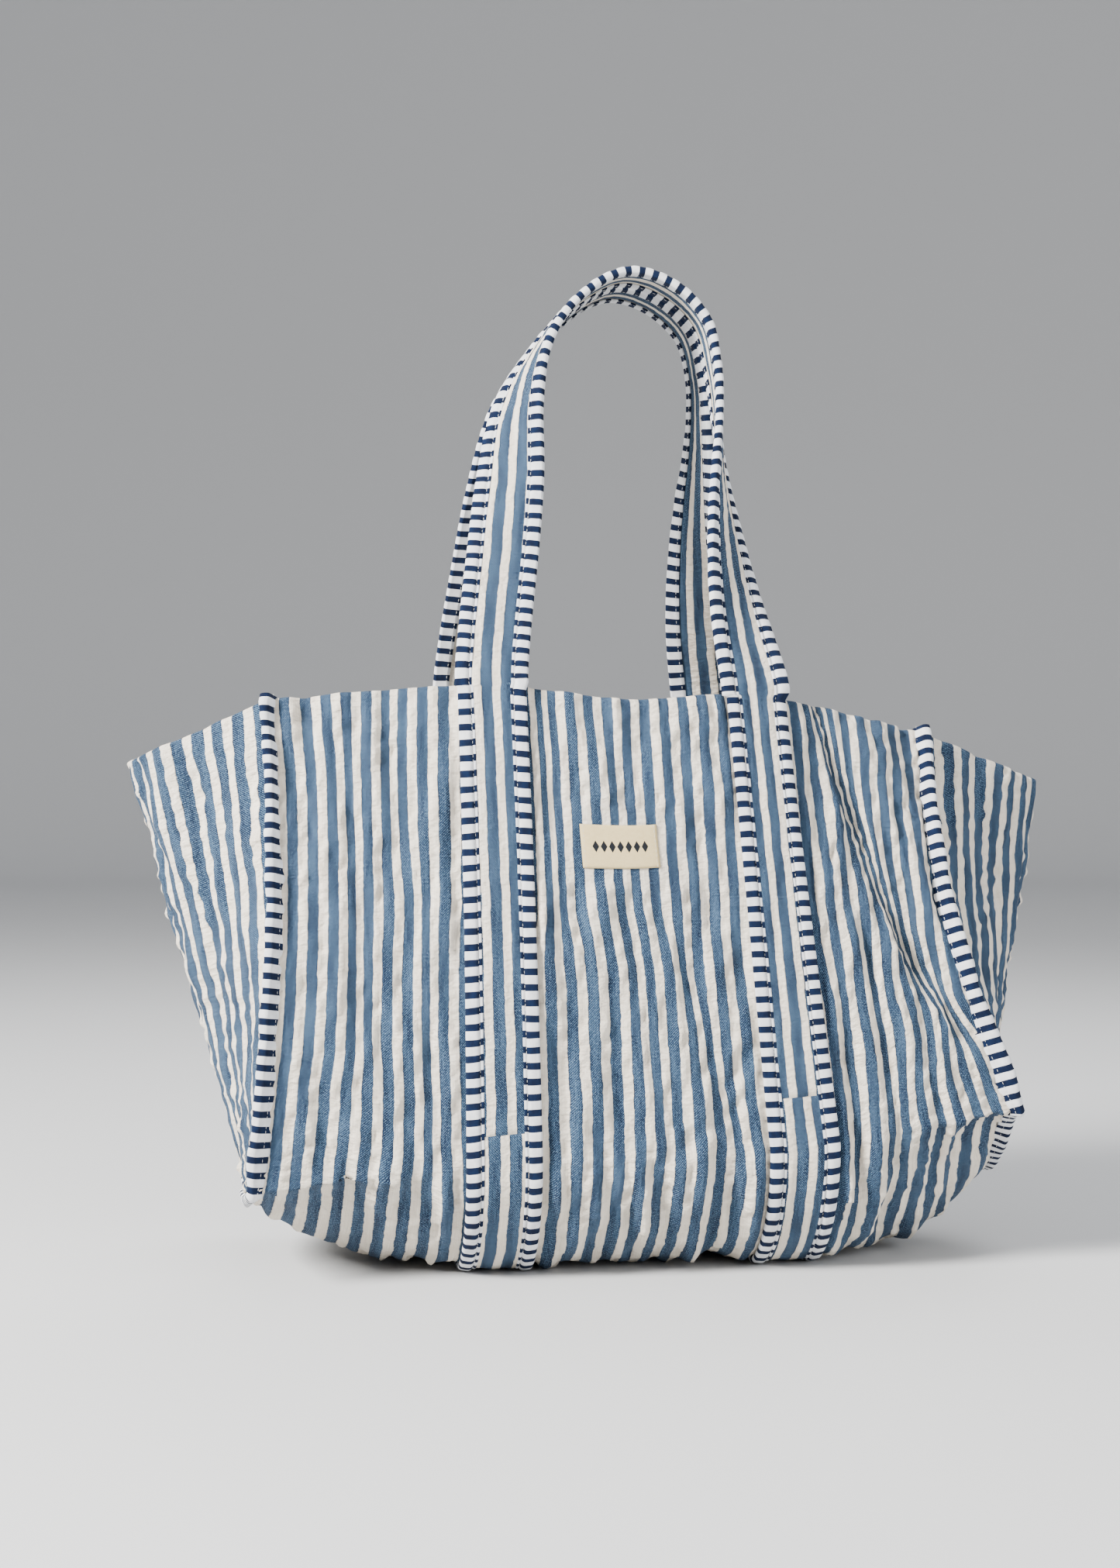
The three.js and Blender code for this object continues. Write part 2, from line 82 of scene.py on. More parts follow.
def soft_light(name, place, aim, size, watts, colour):
    lamp = bpy.data.lights.new(name, "AREA")
    lamp.shape = "RECTANGLE"
    lamp.size, lamp.size_y = size
    lamp.energy = watts
    lamp.color = colour
    made = new_object(name, lamp)
    made.location = place
    made.rotation_euler = (Vector(aim) - Vector(place)).to_track_quat("-Z", "Y").to_euler()


floor_round, sweep, wall_high, sides = 5.5, 1.8, 7.0, 72
floor_bend = np.linspace(0, math.pi / 2, 12)[1:]
round_way = np.arange(sides) * 2 * math.pi / sides
profile = [(r, 0.0) for r in (0.5, 1.5, 3.0, floor_round)]
profile += [(floor_round + sweep * math.sin(a), sweep - sweep * math.cos(a)) for a in floor_bend]
profile += [(floor_round + sweep, wall_high)]
points = [(0, 0, 0)] + [(r * math.cos(a), r * math.sin(a), z) for r, z in profile for a in round_way]
faces = [(0, 1 + i, 1 + (i + 1) % sides) for i in range(sides)]
for k in range(len(profile) - 1):
    near, far = 1 + k * sides, 1 + (k + 1) * sides
    faces += [(near + i, far + i, far + (i + 1) % sides, near + (i + 1) % sides) for i in range(sides)]
floor = mesh_object("floor", points, faces)
for face in floor.data.polygons:
    face.use_smooth = True
floor_paint = bpy.data.materials.new("pale_floor")
floor_paint.use_nodes = True
floor_shader = floor_paint.node_tree.nodes["Principled BSDF"]
floor_shader.inputs["Base Color"].default_value = (0.58, 0.585, 0.59, 1)
floor_shader.inputs["Roughness"].default_value = 0.9
floor_shader.inputs["Specular IOR Level"].default_value = 0.2
floor.data.materials.append(floor_paint)

soft_light("window", (-1.9, -1.15, 1.6), (0, 0, 0.25), (0.8, 0.8), 265, (1.0, 0.98, 0.95))
soft_light("fill", (1.9, -1.5, 0.9), (0, 0, 0.25), (1.6, 1.6), 42, (0.95, 0.97, 1.0))
soft_light("rim", (0.6, 1.1, 1.7), (0, 0, 0.35), (1.6, 0.8), 22, (1.0, 1.0, 1.0))
sky = bpy.data.worlds.new("sky")
sky.use_nodes = True
sky.node_tree.nodes["Background"].inputs["Color"].default_value = (0.93, 0.95, 1.0, 1)
sky.node_tree.nodes["Background"].inputs["Strength"].default_value = 0.72
bpy.context.scene.world = sky

# ---------------------------------------------------------------- Quilted striped cloth
# Padded cotton with a blue chambray and a cream stripe, one length of it for
# the front and the base and one for the back, hanging in soft folds.
panel_width = 0.445
panel_height = 0.290
base_depth = 0.200
shell = 0.0036
strap_spacing = 0.176
strap_web_half = 0.0185
strap_half = strap_web_half + 0.0029
strap_stack = 0.0049
rest_height = strap_stack
half_girth = panel_height + base_depth / 2
half_width = panel_width / 2
centre_x = panel_width * (-0.463 + 0.425) / 2 + base_depth * (0.44 - 0.41) / 2

# how the hung cloth stands: at these shares of the way across, then at its left and right end
drape_at = [0, 0.3, 0.5, 0.7, 1]
rim_height = np.array([1.162, 1.19, 1.162, 1.172, 1.103]) * panel_height
rim_out = np.array([0.3, 0.375, 0.4, 0.375, 0.225]) * base_depth
edge_height = np.array([0.197, 0.248, 0.259, 0.265, 0.331]) * panel_height
rim_seam_x = np.array([-0.463, 0.425]) * panel_width
edge_seam_x = np.array([-0.481, 0.519]) * panel_width
seam_pinch = np.array([0.016, -0.036]) * panel_width
middle_shift = np.array([0.025, 0.018]) * panel_width
end_middle_x = np.array([-0.485, 0.539]) * panel_width
end_middle_height = np.array([0.141, 0.172]) * panel_height
belly_dip = 0.012
belly_rise = np.array([4, 5.5])
tip_x = rim_seam_x + np.array([-0.41, 0.44]) * base_depth
tip_height = np.array([1.038, 1.0]) * panel_height
crease_round = 0.35
base_turn = 0.097 * panel_height

# soft folds: start and end (across, down) as shares of the panel, width, how far out of the cloth
folds = [
    ((0.306, 0.0), (0.476, 0.8), 0.013, -0.0055),
    ((0.373, -0.034), (0.512, 0.655), 0.015, 0.004),
    ((0.063, 0.241), (0.135, 0.862), 0.018, -0.003),
    ((-0.337, 0.069), (-0.315, 0.793), 0.020, -0.0025),
]


def mix(a, b, t):
    return a + (b - a) * t


def eased(low, high, t):
    t = np.clip((t - low) / (high - low), 0, 1)
    return t * t * (3 - 2 * t)


def along(stations, values, t):
    """A smooth run through values placed at stations."""
    stations, values, t = np.asarray(stations, float), np.asarray(values, float), np.asarray(t, float)
    last = len(stations) - 1
    before, after = np.maximum(np.arange(last + 1) - 1, 0), np.minimum(np.arange(last + 1) + 1, last)
    slope = (values[after] - values[before]) / (stations[after] - stations[before])
    i = np.clip(np.searchsorted(stations, t, "right") - 1, 0, last - 1)
    span = stations[i + 1] - stations[i]
    h = (t - stations[i]) / span
    return (values[i] * (2 * h**3 - 3 * h**2 + 1) + values[i + 1] * (3 * h**2 - 2 * h**3)
            + slope[i] * span * (h**3 - 2 * h**2 + h) + slope[i + 1] * span * (h**3 - h**2))


def fold_out(s, g):
    out = np.zeros(np.broadcast(s, g).shape)
    for start, end, width, depth in folds:
        x0, y0 = start[0] * panel_width, start[1] * panel_height
        dx, dy = end[0] * panel_width - x0, end[1] * panel_height - y0
        length = math.hypot(dx, dy)
        run = ((s - x0) * dx + (g - y0) * dy) / length
        off = ((s - x0) * dy - (g - y0) * dx) / length
        ends = np.clip((run + 0.025) / 0.05, 0, 1) * np.clip((length - run + 0.025) / 0.05, 0, 1)
        out = out + depth * ends * np.exp(-(off**2) / (2 * width**2))
    return out * np.clip((half_width - np.abs(s)) / 0.022, 0, 1)


def cloth(s, g):
    """The outer face of the main cloth.

    s runs across from the middle; g runs down from the front rim, under the base and up the back.
    """
    s, g = np.broadcast_arrays(np.asarray(s, float), np.asarray(g, float))
    back = g > half_girth
    g = np.where(back, 2 * half_girth - g, g)
    u = s / panel_width + 0.5
    side = (u >= 0.5).astype(int)
    to_end = np.minimum(1, np.abs(2 * u - 1))
    sharp = eased(0.5, 0.965, to_end)
    turn = panel_height - base_turn * (1 - sharp)
    out_at_rim = along(drape_at, rim_out, u)
    rim_z = along(drape_at, rim_height, u)
    edge_z = along(drape_at, edge_height, u)
    half = base_depth / 2
    bulge = 4 * u * (1 - u)
    v = np.minimum(g / turn, 1)
    x_seam = mix(mix(rim_seam_x[0], rim_seam_x[1], u), mix(edge_seam_x[0], edge_seam_x[1], u), v)
    x_wall = (x_seam + np.sin(np.pi * v) * seam_pinch[side] * to_end**3
              + mix(middle_shift[0], middle_shift[1], v) * bulge)
    y_wall = -(mix(out_at_rim, half, np.sin(v * np.pi / 2)) + fold_out(s, g))
    z_wall = mix(rim_z, edge_z, v)
    q = np.clip((g - turn) / (half_girth - turn), 0, 1)
    low = mix(rest_height - belly_dip, end_middle_height[side], to_end ** belly_rise[side])
    angle = q * np.pi / 2
    under = (1 - (1 - q) ** 2) ** 2
    fade = fold_out(s, turn) * (1 - q) ** 2
    y_base = -half * mix(np.cos(angle), 1 - q, sharp) - fade * np.cos(angle)
    z_base = edge_z - (edge_z - low) * mix(np.sin(angle), under, sharp)
    drop, reach = z_base - rest_height, 0.004
    rounded = np.where(drop < -reach, 0, (drop + reach) ** 2 / (4 * reach))
    z_base = rest_height + np.where(drop > reach, drop, rounded)
    x_base = (mix(edge_seam_x[0], edge_seam_x[1], u) + middle_shift[1] * bulge
              + (end_middle_x[side] - edge_seam_x[side]) * under * sharp)
    wall = g <= turn
    x, y, z = np.where(wall, x_wall, x_base), np.where(wall, y_wall, y_base), np.where(wall, z_wall, z_base)
    return np.stack([x - centre_x, np.where(back, -y, y), z], -1)


def unit(v):
    return v / np.maximum(np.linalg.norm(v, axis=-1, keepdims=True), 1e-12)


def cloth_normal(s, g):
    e = 0.0006
    s = np.clip(s, -half_width + 1.1 * e, half_width - 1.1 * e)
    g = np.clip(g, 1.1 * e, 2 * half_girth - 1.1 * e)
    return unit(np.cross(cloth(s, g + e) - cloth(s, g - e), cloth(s + e, g) - cloth(s - e, g)))


def ripples(a, b, wave_a, wave_b, seed, count=16):
    """A smooth random swell with about these wavelengths along a and b, of height about 1."""
    chance = np.random.default_rng(seed)
    total = 0
    for _ in range(count):
        turn, phase = chance.uniform(0, 2 * math.pi, 2)
        scale = chance.uniform(0.7, 1.35)
        run = a * math.cos(turn) / wave_a + b * math.sin(turn) / wave_b
        total = total + np.cos(2 * math.pi * run * scale + phase)
    return total * math.sqrt(2 / count)


stripe_pitch = 0.0119
blue_share = 0.555
first_stripe = 0.28

# small pleats: start and end (across, down), half width, cloth hidden in it, depth
pleats = [
    ((0.130, -0.02), (0.202, 0.222), 0.0066, 0.021, -0.0034),
    ((-0.058, -0.02), (-0.053, 0.130), 0.0065, 0.008, -0.0020),
    ((-0.178, 0.03), (-0.168, 0.21), 0.0060, 0.004, -0.0020),
    ((-0.135, 0.10), (-0.128, 0.26), 0.0060, 0.004, -0.0018),
    ((-0.152, -0.01), (-0.150, 0.09), 0.0050, 0.003, -0.0013),
    ((0.020, 0.14), (0.050, 0.26), 0.0055, 0.005, -0.0020),
    ((-0.015, 0.02), (0.004, 0.25), 0.0080, 0.003, -0.0013),
    ((0.124, 0.17), (0.122, 0.34), 0.0045, 0.005, -0.0036),
    ((0.150, 0.155), (0.146, 0.34), 0.0050, 0.005, -0.0032),
    ((0.180, 0.20), (0.172, 0.33), 0.0050, 0.003, -0.0026),
    ((0.030, 0.242), (0.060, 0.205), 0.0042, 0.0, -0.0022),
    ((0.010, 0.262), (0.058, 0.232), 0.0042, 0.0, -0.0018),
]


def along_pleat(pleat, s, g):
    (x0, y0), (x1, y1) = pleat[:2]
    dx, dy = x1 - x0, y1 - y0
    length = math.hypot(dx, dy)
    run = ((s - x0) * dx + (g - y0) * dy) / length
    off = ((s - x0) * dy - (g - y0) * dx) / length
    ends = eased(-0.03, 0.02, run) * eased(-0.03, 0.02, length - run)
    return off / pleat[2], ends


def cut_across(s, g, creased=True):
    """Where a point lies across the uncut cloth: more of it is hidden inside each pleat."""
    s, g = np.broadcast_arrays(np.asarray(s, float), np.asarray(g, float))
    hidden = np.zeros(s.shape)
    for pleat in pleats if creased else ():
        off, ends = along_pleat(pleat, s, g)
        hidden = hidden + 0.5 * pleat[3] * ends * np.tanh(off) * np.exp(-((off * pleat[2] / 0.075) ** 2))
    return s + hidden


def stripe_place(across):
    """0 to 1 across one blue and cream pair, blue first."""
    return np.mod(across / stripe_pitch + first_stripe, 1)


def near_turn(g):
    """1 where the walls turn under the base, where the cloth gathers, fading to 0 above and below."""
    turn_down, turn_reach = 0.292, 0.042
    from_rim = np.minimum(g, 2 * half_girth - g)
    return np.exp(-(((from_rim - turn_down) / turn_reach) ** 2))


def swells(s, g, seed, creased=True):
    """The soft folds, gathers and pleats that bend every layer of the cloth together."""
    long_swell = 0.0013 * ripples(s, g, 0.036, 0.20, seed + 2)
    short_swell = 0.0010 * ripples(s, g, 0.017, 0.055, seed + 3)
    gather = 0.0013 * near_turn(g) * ripples(s, g, 0.013, 0.055, seed + 6)
    lift = long_swell + short_swell + gather * (1 - 0.75 * eased(0.12, 0.17, np.abs(s)))
    for pleat in pleats if creased else ():
        off, ends = along_pleat(pleat, s, g)
        valley = np.exp(-(off**2))
        right_ridge = 0.45 * np.exp(-(((off - 2.0) / 1.3) ** 2))
        left_ridge = 0.3 * np.exp(-(((off + 2.0) / 1.3) ** 2))
        lift = lift + pleat[4] * ends * (valley - right_ridge - left_ridge)
    return lift


def puffs(s, g, seed, creased=True):
    """How the wadding, the stripes and small puckers lift the outer face alone."""
    place = stripe_place(cut_across(s, g, creased))
    cream = eased(0.54, 0.64, place) * (1 - eased(0.92, 1.0, place))
    channel = np.abs(np.sin(np.pi * place)) ** 0.6 * 0.00070 * (1 + 0.4 * ripples(s, g, 0.03, 0.05, seed + 1))
    lumps = 0.00055 * (0.35 + 1.0 * cream) * ripples(s, g, 0.0095, 0.0135, seed + 5, 24)
    pucker_height = (0.00008 + 0.00045 * near_turn(g)) * (0.4 + 0.9 * cream)
    pucker = ripples(s, g, 0.022, 0.0062, seed + 4) * pucker_height
    return channel + lumps + pucker


def loft(name, rows, uv):
    """A closed mesh from rows of points, each row a ring, with a cap on the first and the last."""
    rows = np.asarray(rows, float)
    count, ring = rows.shape[:2]
    i, j = np.meshgrid(np.arange(count - 1), np.arange(ring), indexing="ij")
    k = (j + 1) % ring
    quads = np.stack([i * ring + j, i * ring + k, (i + 1) * ring + k, (i + 1) * ring + j], -1).reshape(-1, 4)
    corner_uv = np.stack([uv[i, j], uv[i, j + 1], uv[i + 1, j + 1], uv[i + 1, j]], -2).reshape(-1, 2)
    faces = quads.tolist()
    faces += [list(range(ring)), [(count - 1) * ring + n for n in range(ring)][::-1]]
    corner_uv = np.concatenate([corner_uv, uv[0, :ring], uv[-1, :ring][::-1]])
    made = mesh_object(name, rows.reshape(-1, 3), faces)
    layer = made.data.uv_layers.new(name="cloth")
    layer.data.foreach_set("uv", corner_uv.astype(np.float32).ravel())
    tidy = bmesh.new()
    tidy.from_mesh(made.data)
    bmesh.ops.recalc_face_normals(tidy, faces=tidy.faces)
    if tidy.calc_volume(signed=True) < 0:
        bmesh.ops.reverse_faces(tidy, faces=tidy.faces)
    bmesh.ops.triangulate(tidy, faces=[f for f in tidy.faces if len(f.verts) > 4])
    tidy.to_mesh(made.data)
    tidy.free()
    for face in made.data.polygons:
        face.use_smooth = True
    return made


def slab(name, outer, inner, uv):
    """A closed piece between an outer and an inner face that share their lines."""
    ring = np.concatenate([outer, inner[:, ::-1]], 1)
    return loft(name, ring, np.concatenate([uv, uv[:, ::-1], uv[:, :1]], 1))


class Weave:
    """Builds one cloth finish as a node tree."""

    def __init__(self, name):
        self.material = bpy.data.materials.new(name)
        self.material.use_nodes = True
        self.tree = self.material.node_tree
        self.shader = self.tree.nodes["Principled BSDF"]

    def node(self, kind, inputs=(), **settings):
        made = self.tree.nodes.new(kind)
        for key, value in settings.items():
            setattr(made, key, value)
        for slot, value in (inputs.items() if isinstance(inputs, dict) else enumerate(inputs)):
            if isinstance(value, bpy.types.NodeSocket):
                self.tree.links.new(value, made.inputs[slot])
            elif value is not None:
                made.inputs[slot].default_value = value
        return made

    def maths(self, operation, *inputs):
        return self.node("ShaderNodeMath", inputs, operation=operation).outputs[0]

    def add(self, total, *others):
        for other in others:
            total = self.maths("ADD", total, other)
        return total

    def minus(self, first, second):
        return self.maths("SUBTRACT", first, second)

    def times(self, first, second):
        return self.maths("MULTIPLY", first, second)

    def over(self, first, second):
        return self.maths("DIVIDE", first, second)

    def wave(self, run, length):
        """A sine along the cloth that repeats after this length."""
        return self.maths("SINE", self.times(run, 2 * math.pi / length))

    def swing(self, noise, reach):
        """Noise turned into a swing to either side of nothing."""
        return self.times(self.minus(noise, 0.5), reach)

    def repeat(self, value, pitch, phase):
        """0 to 1 over each pitch."""
        return self.maths("FRACT", self.add(self.over(value, pitch), phase))

    def band(self, place, share, edge, past=0.0):
        """1 over the first share of each repeat, with soft edges."""
        closed = self.minus(1.0, self.ramp(place, share - edge, share + past))
        return self.times(self.ramp(place, 0.0, edge), closed)

    def ramp(self, value, low, high):
        return self.node("ShaderNodeMapRange", {"Value": value, "From Min": low, "From Max": high},
                         interpolation_type="SMOOTHSTEP").outputs[0]

    def blend(self, share, first, second):
        made = self.node("ShaderNodeMix", data_type="RGBA")
        for slot, value in ((0, share), (6, first), (7, second)):
            if isinstance(value, bpy.types.NodeSocket):
                self.tree.links.new(value, made.inputs[slot])
            else:
                made.inputs[slot].default_value = value
        return made.outputs[2]

    def noise(self, vector, scale, detail=2.0, stretch=None):
        if stretch:
            vector = self.node("ShaderNodeVectorMath", [vector, stretch], operation="MULTIPLY").outputs[0]
        inputs = {"Vector": vector, "Scale": scale, "Detail": detail}
        return self.node("ShaderNodeTexNoise", inputs).outputs["Fac"]

    def place(self, name="cloth"):
        """Across and along the cloth in metres, and the pair as a vector."""
        uv = self.node("ShaderNodeUVMap", uv_map=name).outputs[0]
        parts = self.node("ShaderNodeSeparateXYZ", [uv])
        return parts.outputs[0], parts.outputs[1], uv

    def finish(self, colour, height, bump, rough=0.95, sheen=0.03):
        self.tree.links.new(colour, self.shader.inputs["Base Color"])
        made = self.node("ShaderNodeBump", {"Strength": 1.0, "Distance": bump, "Height": height})
        self.tree.links.new(made.outputs[0], self.shader.inputs["Normal"])
        self.shader.inputs["Roughness"].default_value = rough
        self.shader.inputs["Specular IOR Level"].default_value = 0.25
        self.shader.inputs["Sheen Weight"].default_value = sheen
        self.shader.inputs["Sheen Roughness"].default_value = 0.5
        return self.material


def striped_cotton(name, phase=first_stripe, share=blue_share):
    w = Weave(name)
    across, down, uv = w.place()
    # the stripes sway together as the wadding crinkles, and their edges wander thread by thread
    sway = w.swing(w.noise(uv, 1.0, 2, (36, 64, 0)), 0.0020)
    wander = w.swing(w.noise(uv, 1.0, 2, (240, 420, 0)), 0.0009)
    place = w.repeat(w.add(across, wander, sway), stripe_pitch, phase + 100)
    blue = w.band(place, share, 0.03, 0.015)
    # twill: navy and nearly white threads cross in short slanting steps
    twill_step = 0.00125
    slant = w.wave(w.add(across, w.times(down, 0.9)), twill_step)
    cross = w.wave(w.minus(w.times(across, 0.5), down), twill_step / 0.8)
    weave = w.add(w.times(slant, 0.75), w.times(w.times(slant, cross), 0.5))
    slub = w.noise(uv, 1.0, 2, (2600, 55, 0))
    patch = w.noise(uv, 1.0, 3, (240, 34, 0))
    grain = w.noise(uv, 1.0, 2, (1000, 1000, 0))
    mottle = w.add(w.swing(grain, 4.2), w.swing(slub, 2.2))
    dark = w.ramp(w.add(weave, mottle, w.swing(patch, 3.0)), -1.2, 1.3)
    chambray = w.blend(dark, (0.0012, 0.008, 0.030, 1), (0.062, 0.120, 0.200, 1))
    fleck = w.ramp(w.add(weave, w.swing(grain, 3.0)), 0.85, 1.35)
    chambray = w.blend(w.times(fleck, 0.42), chambray, (0.36, 0.48, 0.60, 1))
    plain = w.times(w.wave(across, 0.0007), w.wave(down, 0.0007))
    tone = w.ramp(w.add(w.times(plain, 0.10), slub, w.times(patch, 0.7)), 0.55, 1.25)
    cream = w.blend(tone, (0.72, 0.64, 0.53, 1), (0.90, 0.83, 0.72, 1))
    colour = w.blend(blue, cream, chambray)
    threads = w.add(w.times(plain, 0.35), w.times(slub, 0.8))
    crinkle = w.times(w.noise(uv, 1.0, 2, (210, 360, 0)), w.minus(8.5, w.times(blue, 3.5)))
    height = w.add(w.times(weave, w.times(blue, 0.4)), threads, crinkle)
    return w.finish(colour, height, 0.00030)


quilted = striped_cotton("quilted_striped_cotton")
quilt_lines = np.linspace(-half_width, half_width, 236)
hem_depth = 0.028
hem_back = 0.0050


label_aside, label_down = -0.012, 0.085


def calm(s, g, labelled=True):
    """1 on free cloth, 0 where a strap or the label lies on it."""
    under_strap = eased(strap_half - 0.001, strap_half + 0.006, np.abs(np.abs(s) - strap_spacing / 2))
    if not labelled:
        return under_strap
    away = np.maximum(np.abs(s - label_aside) / 0.031, np.abs(g - label_down) / 0.019)
    return under_strap * eased(0.95, 1.4, away)


def turned_cloth(name, face, normal, lines, outer, broad, fine, flat_edge, cut=lambda s, g: s + 0 * g):
    """One quilted length: outer face from its lowest row up to the rim, folded over and hemmed inside."""
    s = lines[:, None]
    inner = np.linspace(hem_depth + 0.0006, flat_edge, 80)
    across_fold = np.linspace(0, math.pi, 9)[1:-1]
    hem = np.linspace(0.001, hem_depth, 12)
    ring, uv = [], []

    def row(g, out):
        g = np.asarray(g, float)[None, :] + 0 * s
        ring.append(face(s, g) + normal(s, g) * np.asarray(out)[..., None])
        return g

    g = row(outer, broad(s, outer[None, :]) + fine(s, outer[None, :]))
    uv.append(np.stack([cut(s, g), g], -1))
    at_rim = cut(s, 0 * s)
    top, top_normal = face(s, 0 * s), normal(s, 0 * s)
    up = unit(face(s, 0 * s) - face(s, 0 * s + 0.0015))
    radius = hem_back / 2
    lift = fine(s, outer[None, -1:])[..., None]
    raised = radius + lift * (across_fold < 1.6)[None, :, None]
    outward = broad(s, 0 * s)[..., None] - radius + np.cos(across_fold)[None, :, None] * raised
    fold = top + top_normal * outward + up * np.sin(across_fold)[None, :, None] * radius * 0.8
    ring.append(fold)
    uv.append(np.stack([at_rim + 0 * across_fold, -across_fold[None, :] * radius + 0 * s], -1))
    g = row(hem, broad(s, hem[None, :]) - hem_back)
    uv.append(np.stack([at_rim + 0 * g, -g - 0.008], -1))
    g = row(inner, broad(s, inner[None, :]) - shell)
    uv.append(np.stack([s + 0 * g, g], -1))
    ring, uv = np.concatenate(ring, 1), np.concatenate(uv, 1)
    return loft(name, ring, np.concatenate([uv, uv[:, :1]], 1))


base_middle = half_girth - 0.00004
panel_rows = np.linspace(base_middle, 0, 190)


def front_folds(s, g):
    return swells(s, g, 11) * calm(s, g) * eased(0, 0.012, half_width - np.abs(s))


def back_folds(s, g):
    return swells(s, g, 31, False) * calm(s, g, False) * eased(0, 0.012, half_width - np.abs(s))


front_cloth = turned_cloth("front_cloth", cloth, cloth_normal, quilt_lines, panel_rows, front_folds,
                           lambda s, g: puffs(s, g, 11) * calm(s, g), base_middle, cut_across)
front_cloth.data.materials.append(quilted)
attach(front_cloth, "bag")
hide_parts("front_panel", "front_hem")


def back_face(s, g):
    return cloth(s, 2 * half_girth - g)


def back_normal(s, g):
    return cloth_normal(s, 2 * half_girth - g)


back_cloth = turned_cloth("back_cloth", back_face, back_normal, quilt_lines, panel_rows, back_folds,
                          lambda s, g: puffs(s, g, 31, False) * calm(s, g, False), base_middle)
back_cloth.data.materials.append(quilted)
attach(back_cloth, "bag")
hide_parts("back_panel", "back_hem")

# ---------------------------------------------------------------- Gussets
# The same quilted cloth, one piece each side, folded outward down its middle
# so that the ends of the bag are pointed; hemmed at the rim like the panels.


def gusset_face(side):
    edge = (1 if side else -1) * half_width

    def face(a, g):
        a, g = np.broadcast_arrays(np.asarray(a, float), np.asarray(g, float))
        t = g / panel_height
        m = np.minimum(1, np.abs(a) / (base_depth / 2))
        at_seam = math.sqrt(1 + crease_round**2) - crease_round
        soft = (np.sqrt(m**2 + crease_round**2) - crease_round) / at_seam

        def folded(w):
            seam = cloth(edge + 0 * a, w * panel_height)
            tip = np.stack([mix(tip_x[side], end_middle_x[side], w) - centre_x + 0 * a, 0 * a,
                            mix(tip_height[side], end_middle_height[side], w) + 0 * a], -1)
            share = np.stack([soft, m, soft], -1)
            return tip + (seam - tip) * share

        p, bottom = folded(t), folded(np.ones_like(t))
        base_edge = cloth(edge + 0 * a, panel_height + (1 - m) * base_depth / 2)
        p = p + (base_edge - bottom) * (t**4)[..., None]
        p[..., 1] *= np.where(a > 0, -1, 1)
        return p

    return face


def gusset_normal(side):
    face, way = gusset_face(side), 1 if side else -1

    def normal(a, g):
        e = 0.0006
        a = np.clip(a, -base_depth / 2 + 1.2 * e, base_depth / 2 - 1.2 * e)
        g = np.clip(g, 1.2 * e, panel_height - 1.2 * e)
        n = unit(np.cross(face(a + e, g) - face(a - e, g), face(a, g + e) - face(a, g - e)))
        return n * np.where(n[..., :1] * way > 0, 1, -1)

    return normal


gusset_lines = np.linspace(-base_depth / 2 + 0.0022, base_depth / 2 - 0.0022, 112)
gusset_rows = np.linspace(panel_height - 0.0035, 0, 136)


# creases down each gusset: across at the rim and at the foot, from and to how far down, width, depth
gusset_creases = [
    [
        (-0.052, -0.040, -0.05, 0.17, 0.0070, -0.0036),
        (-0.026, -0.020, 0.02, 0.22, 0.0075, 0.0024),
        (-0.072, -0.060, 0.04, 0.20, 0.0065, -0.0020),
        (0.050, 0.040, -0.05, 0.18, 0.0070, -0.0040),
        (0.026, 0.022, 0.03, 0.20, 0.0070, 0.0025),
    ],
    [
        (-0.060, -0.046, -0.05, 0.12, 0.0070, -0.0026),
        (-0.030, -0.026, 0.05, 0.24, 0.0070, 0.0022),
        (0.055, 0.040, -0.05, 0.18, 0.0070, -0.0036),
        (0.024, 0.022, 0.03, 0.20, 0.0070, 0.0025),
    ],
]
# the gussets are pulled flatter than the panels
swell_share, crease_share = 0.65, 0.75


def gusset_folds(side):
    def folded(a, g):
        lift = swell_share * swells(a, g, 51 + side, False)
        for x0, x1, top, low, width, depth in gusset_creases[side]:
            off = (a - mix(x0, x1, g / panel_height)) / width
            ends = eased(top - 0.03, top + 0.02, g) * eased(low + 0.04, low - 0.04, g)
            lift = lift + crease_share * depth * np.exp(-(off**2)) * ends
        return lift * eased(0, 0.014, base_depth / 2 - np.abs(a))

    return folded


def gusset_puffs(side):
    def lifted(a, g):
        return puffs(a, g, 51 + side, False) * eased(0, 0.008, base_depth / 2 - np.abs(a))

    return lifted


for side, word in enumerate(("left", "right")):
    made = turned_cloth(f"{word}_gusset_cloth", gusset_face(side), gusset_normal(side), gusset_lines,
                        gusset_rows, gusset_folds(side), gusset_puffs(side), panel_height - 0.006)
    made.data.materials.append(quilted)
    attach(made, "bag")
    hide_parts(f"{word}_gusset", f"{word}_gusset_hem")

# ---------------------------------------------------------------- Lining
# Plain cream cotton sewn in below the hem, one piece behind each length of
# the quilted cloth, meeting along the seams inside.
lining_out, lining_in = -0.0042, -0.0050


def plain_cotton(name):
    w = Weave(name)
    across, down, uv = w.place()
    plain = w.times(w.wave(across, 0.0006), w.wave(down, 0.0006))
    cloud = w.noise(uv, 1.0, 3, (90, 60, 0))
    slub = w.noise(uv, 1.0, 2, (60, 2200, 0))
    clouded = w.add(w.times(cloud, 0.7), w.times(slub, 0.5))
    tone = w.ramp(w.add(w.times(plain, 0.08), clouded), 0.35, 0.9)
    colour = w.blend(tone, (0.60, 0.56, 0.49, 1), (0.76, 0.72, 0.65, 1))
    return w.finish(colour, w.add(plain, slub), 0.00012)


lining_cotton = plain_cotton("plain_cotton_lining")


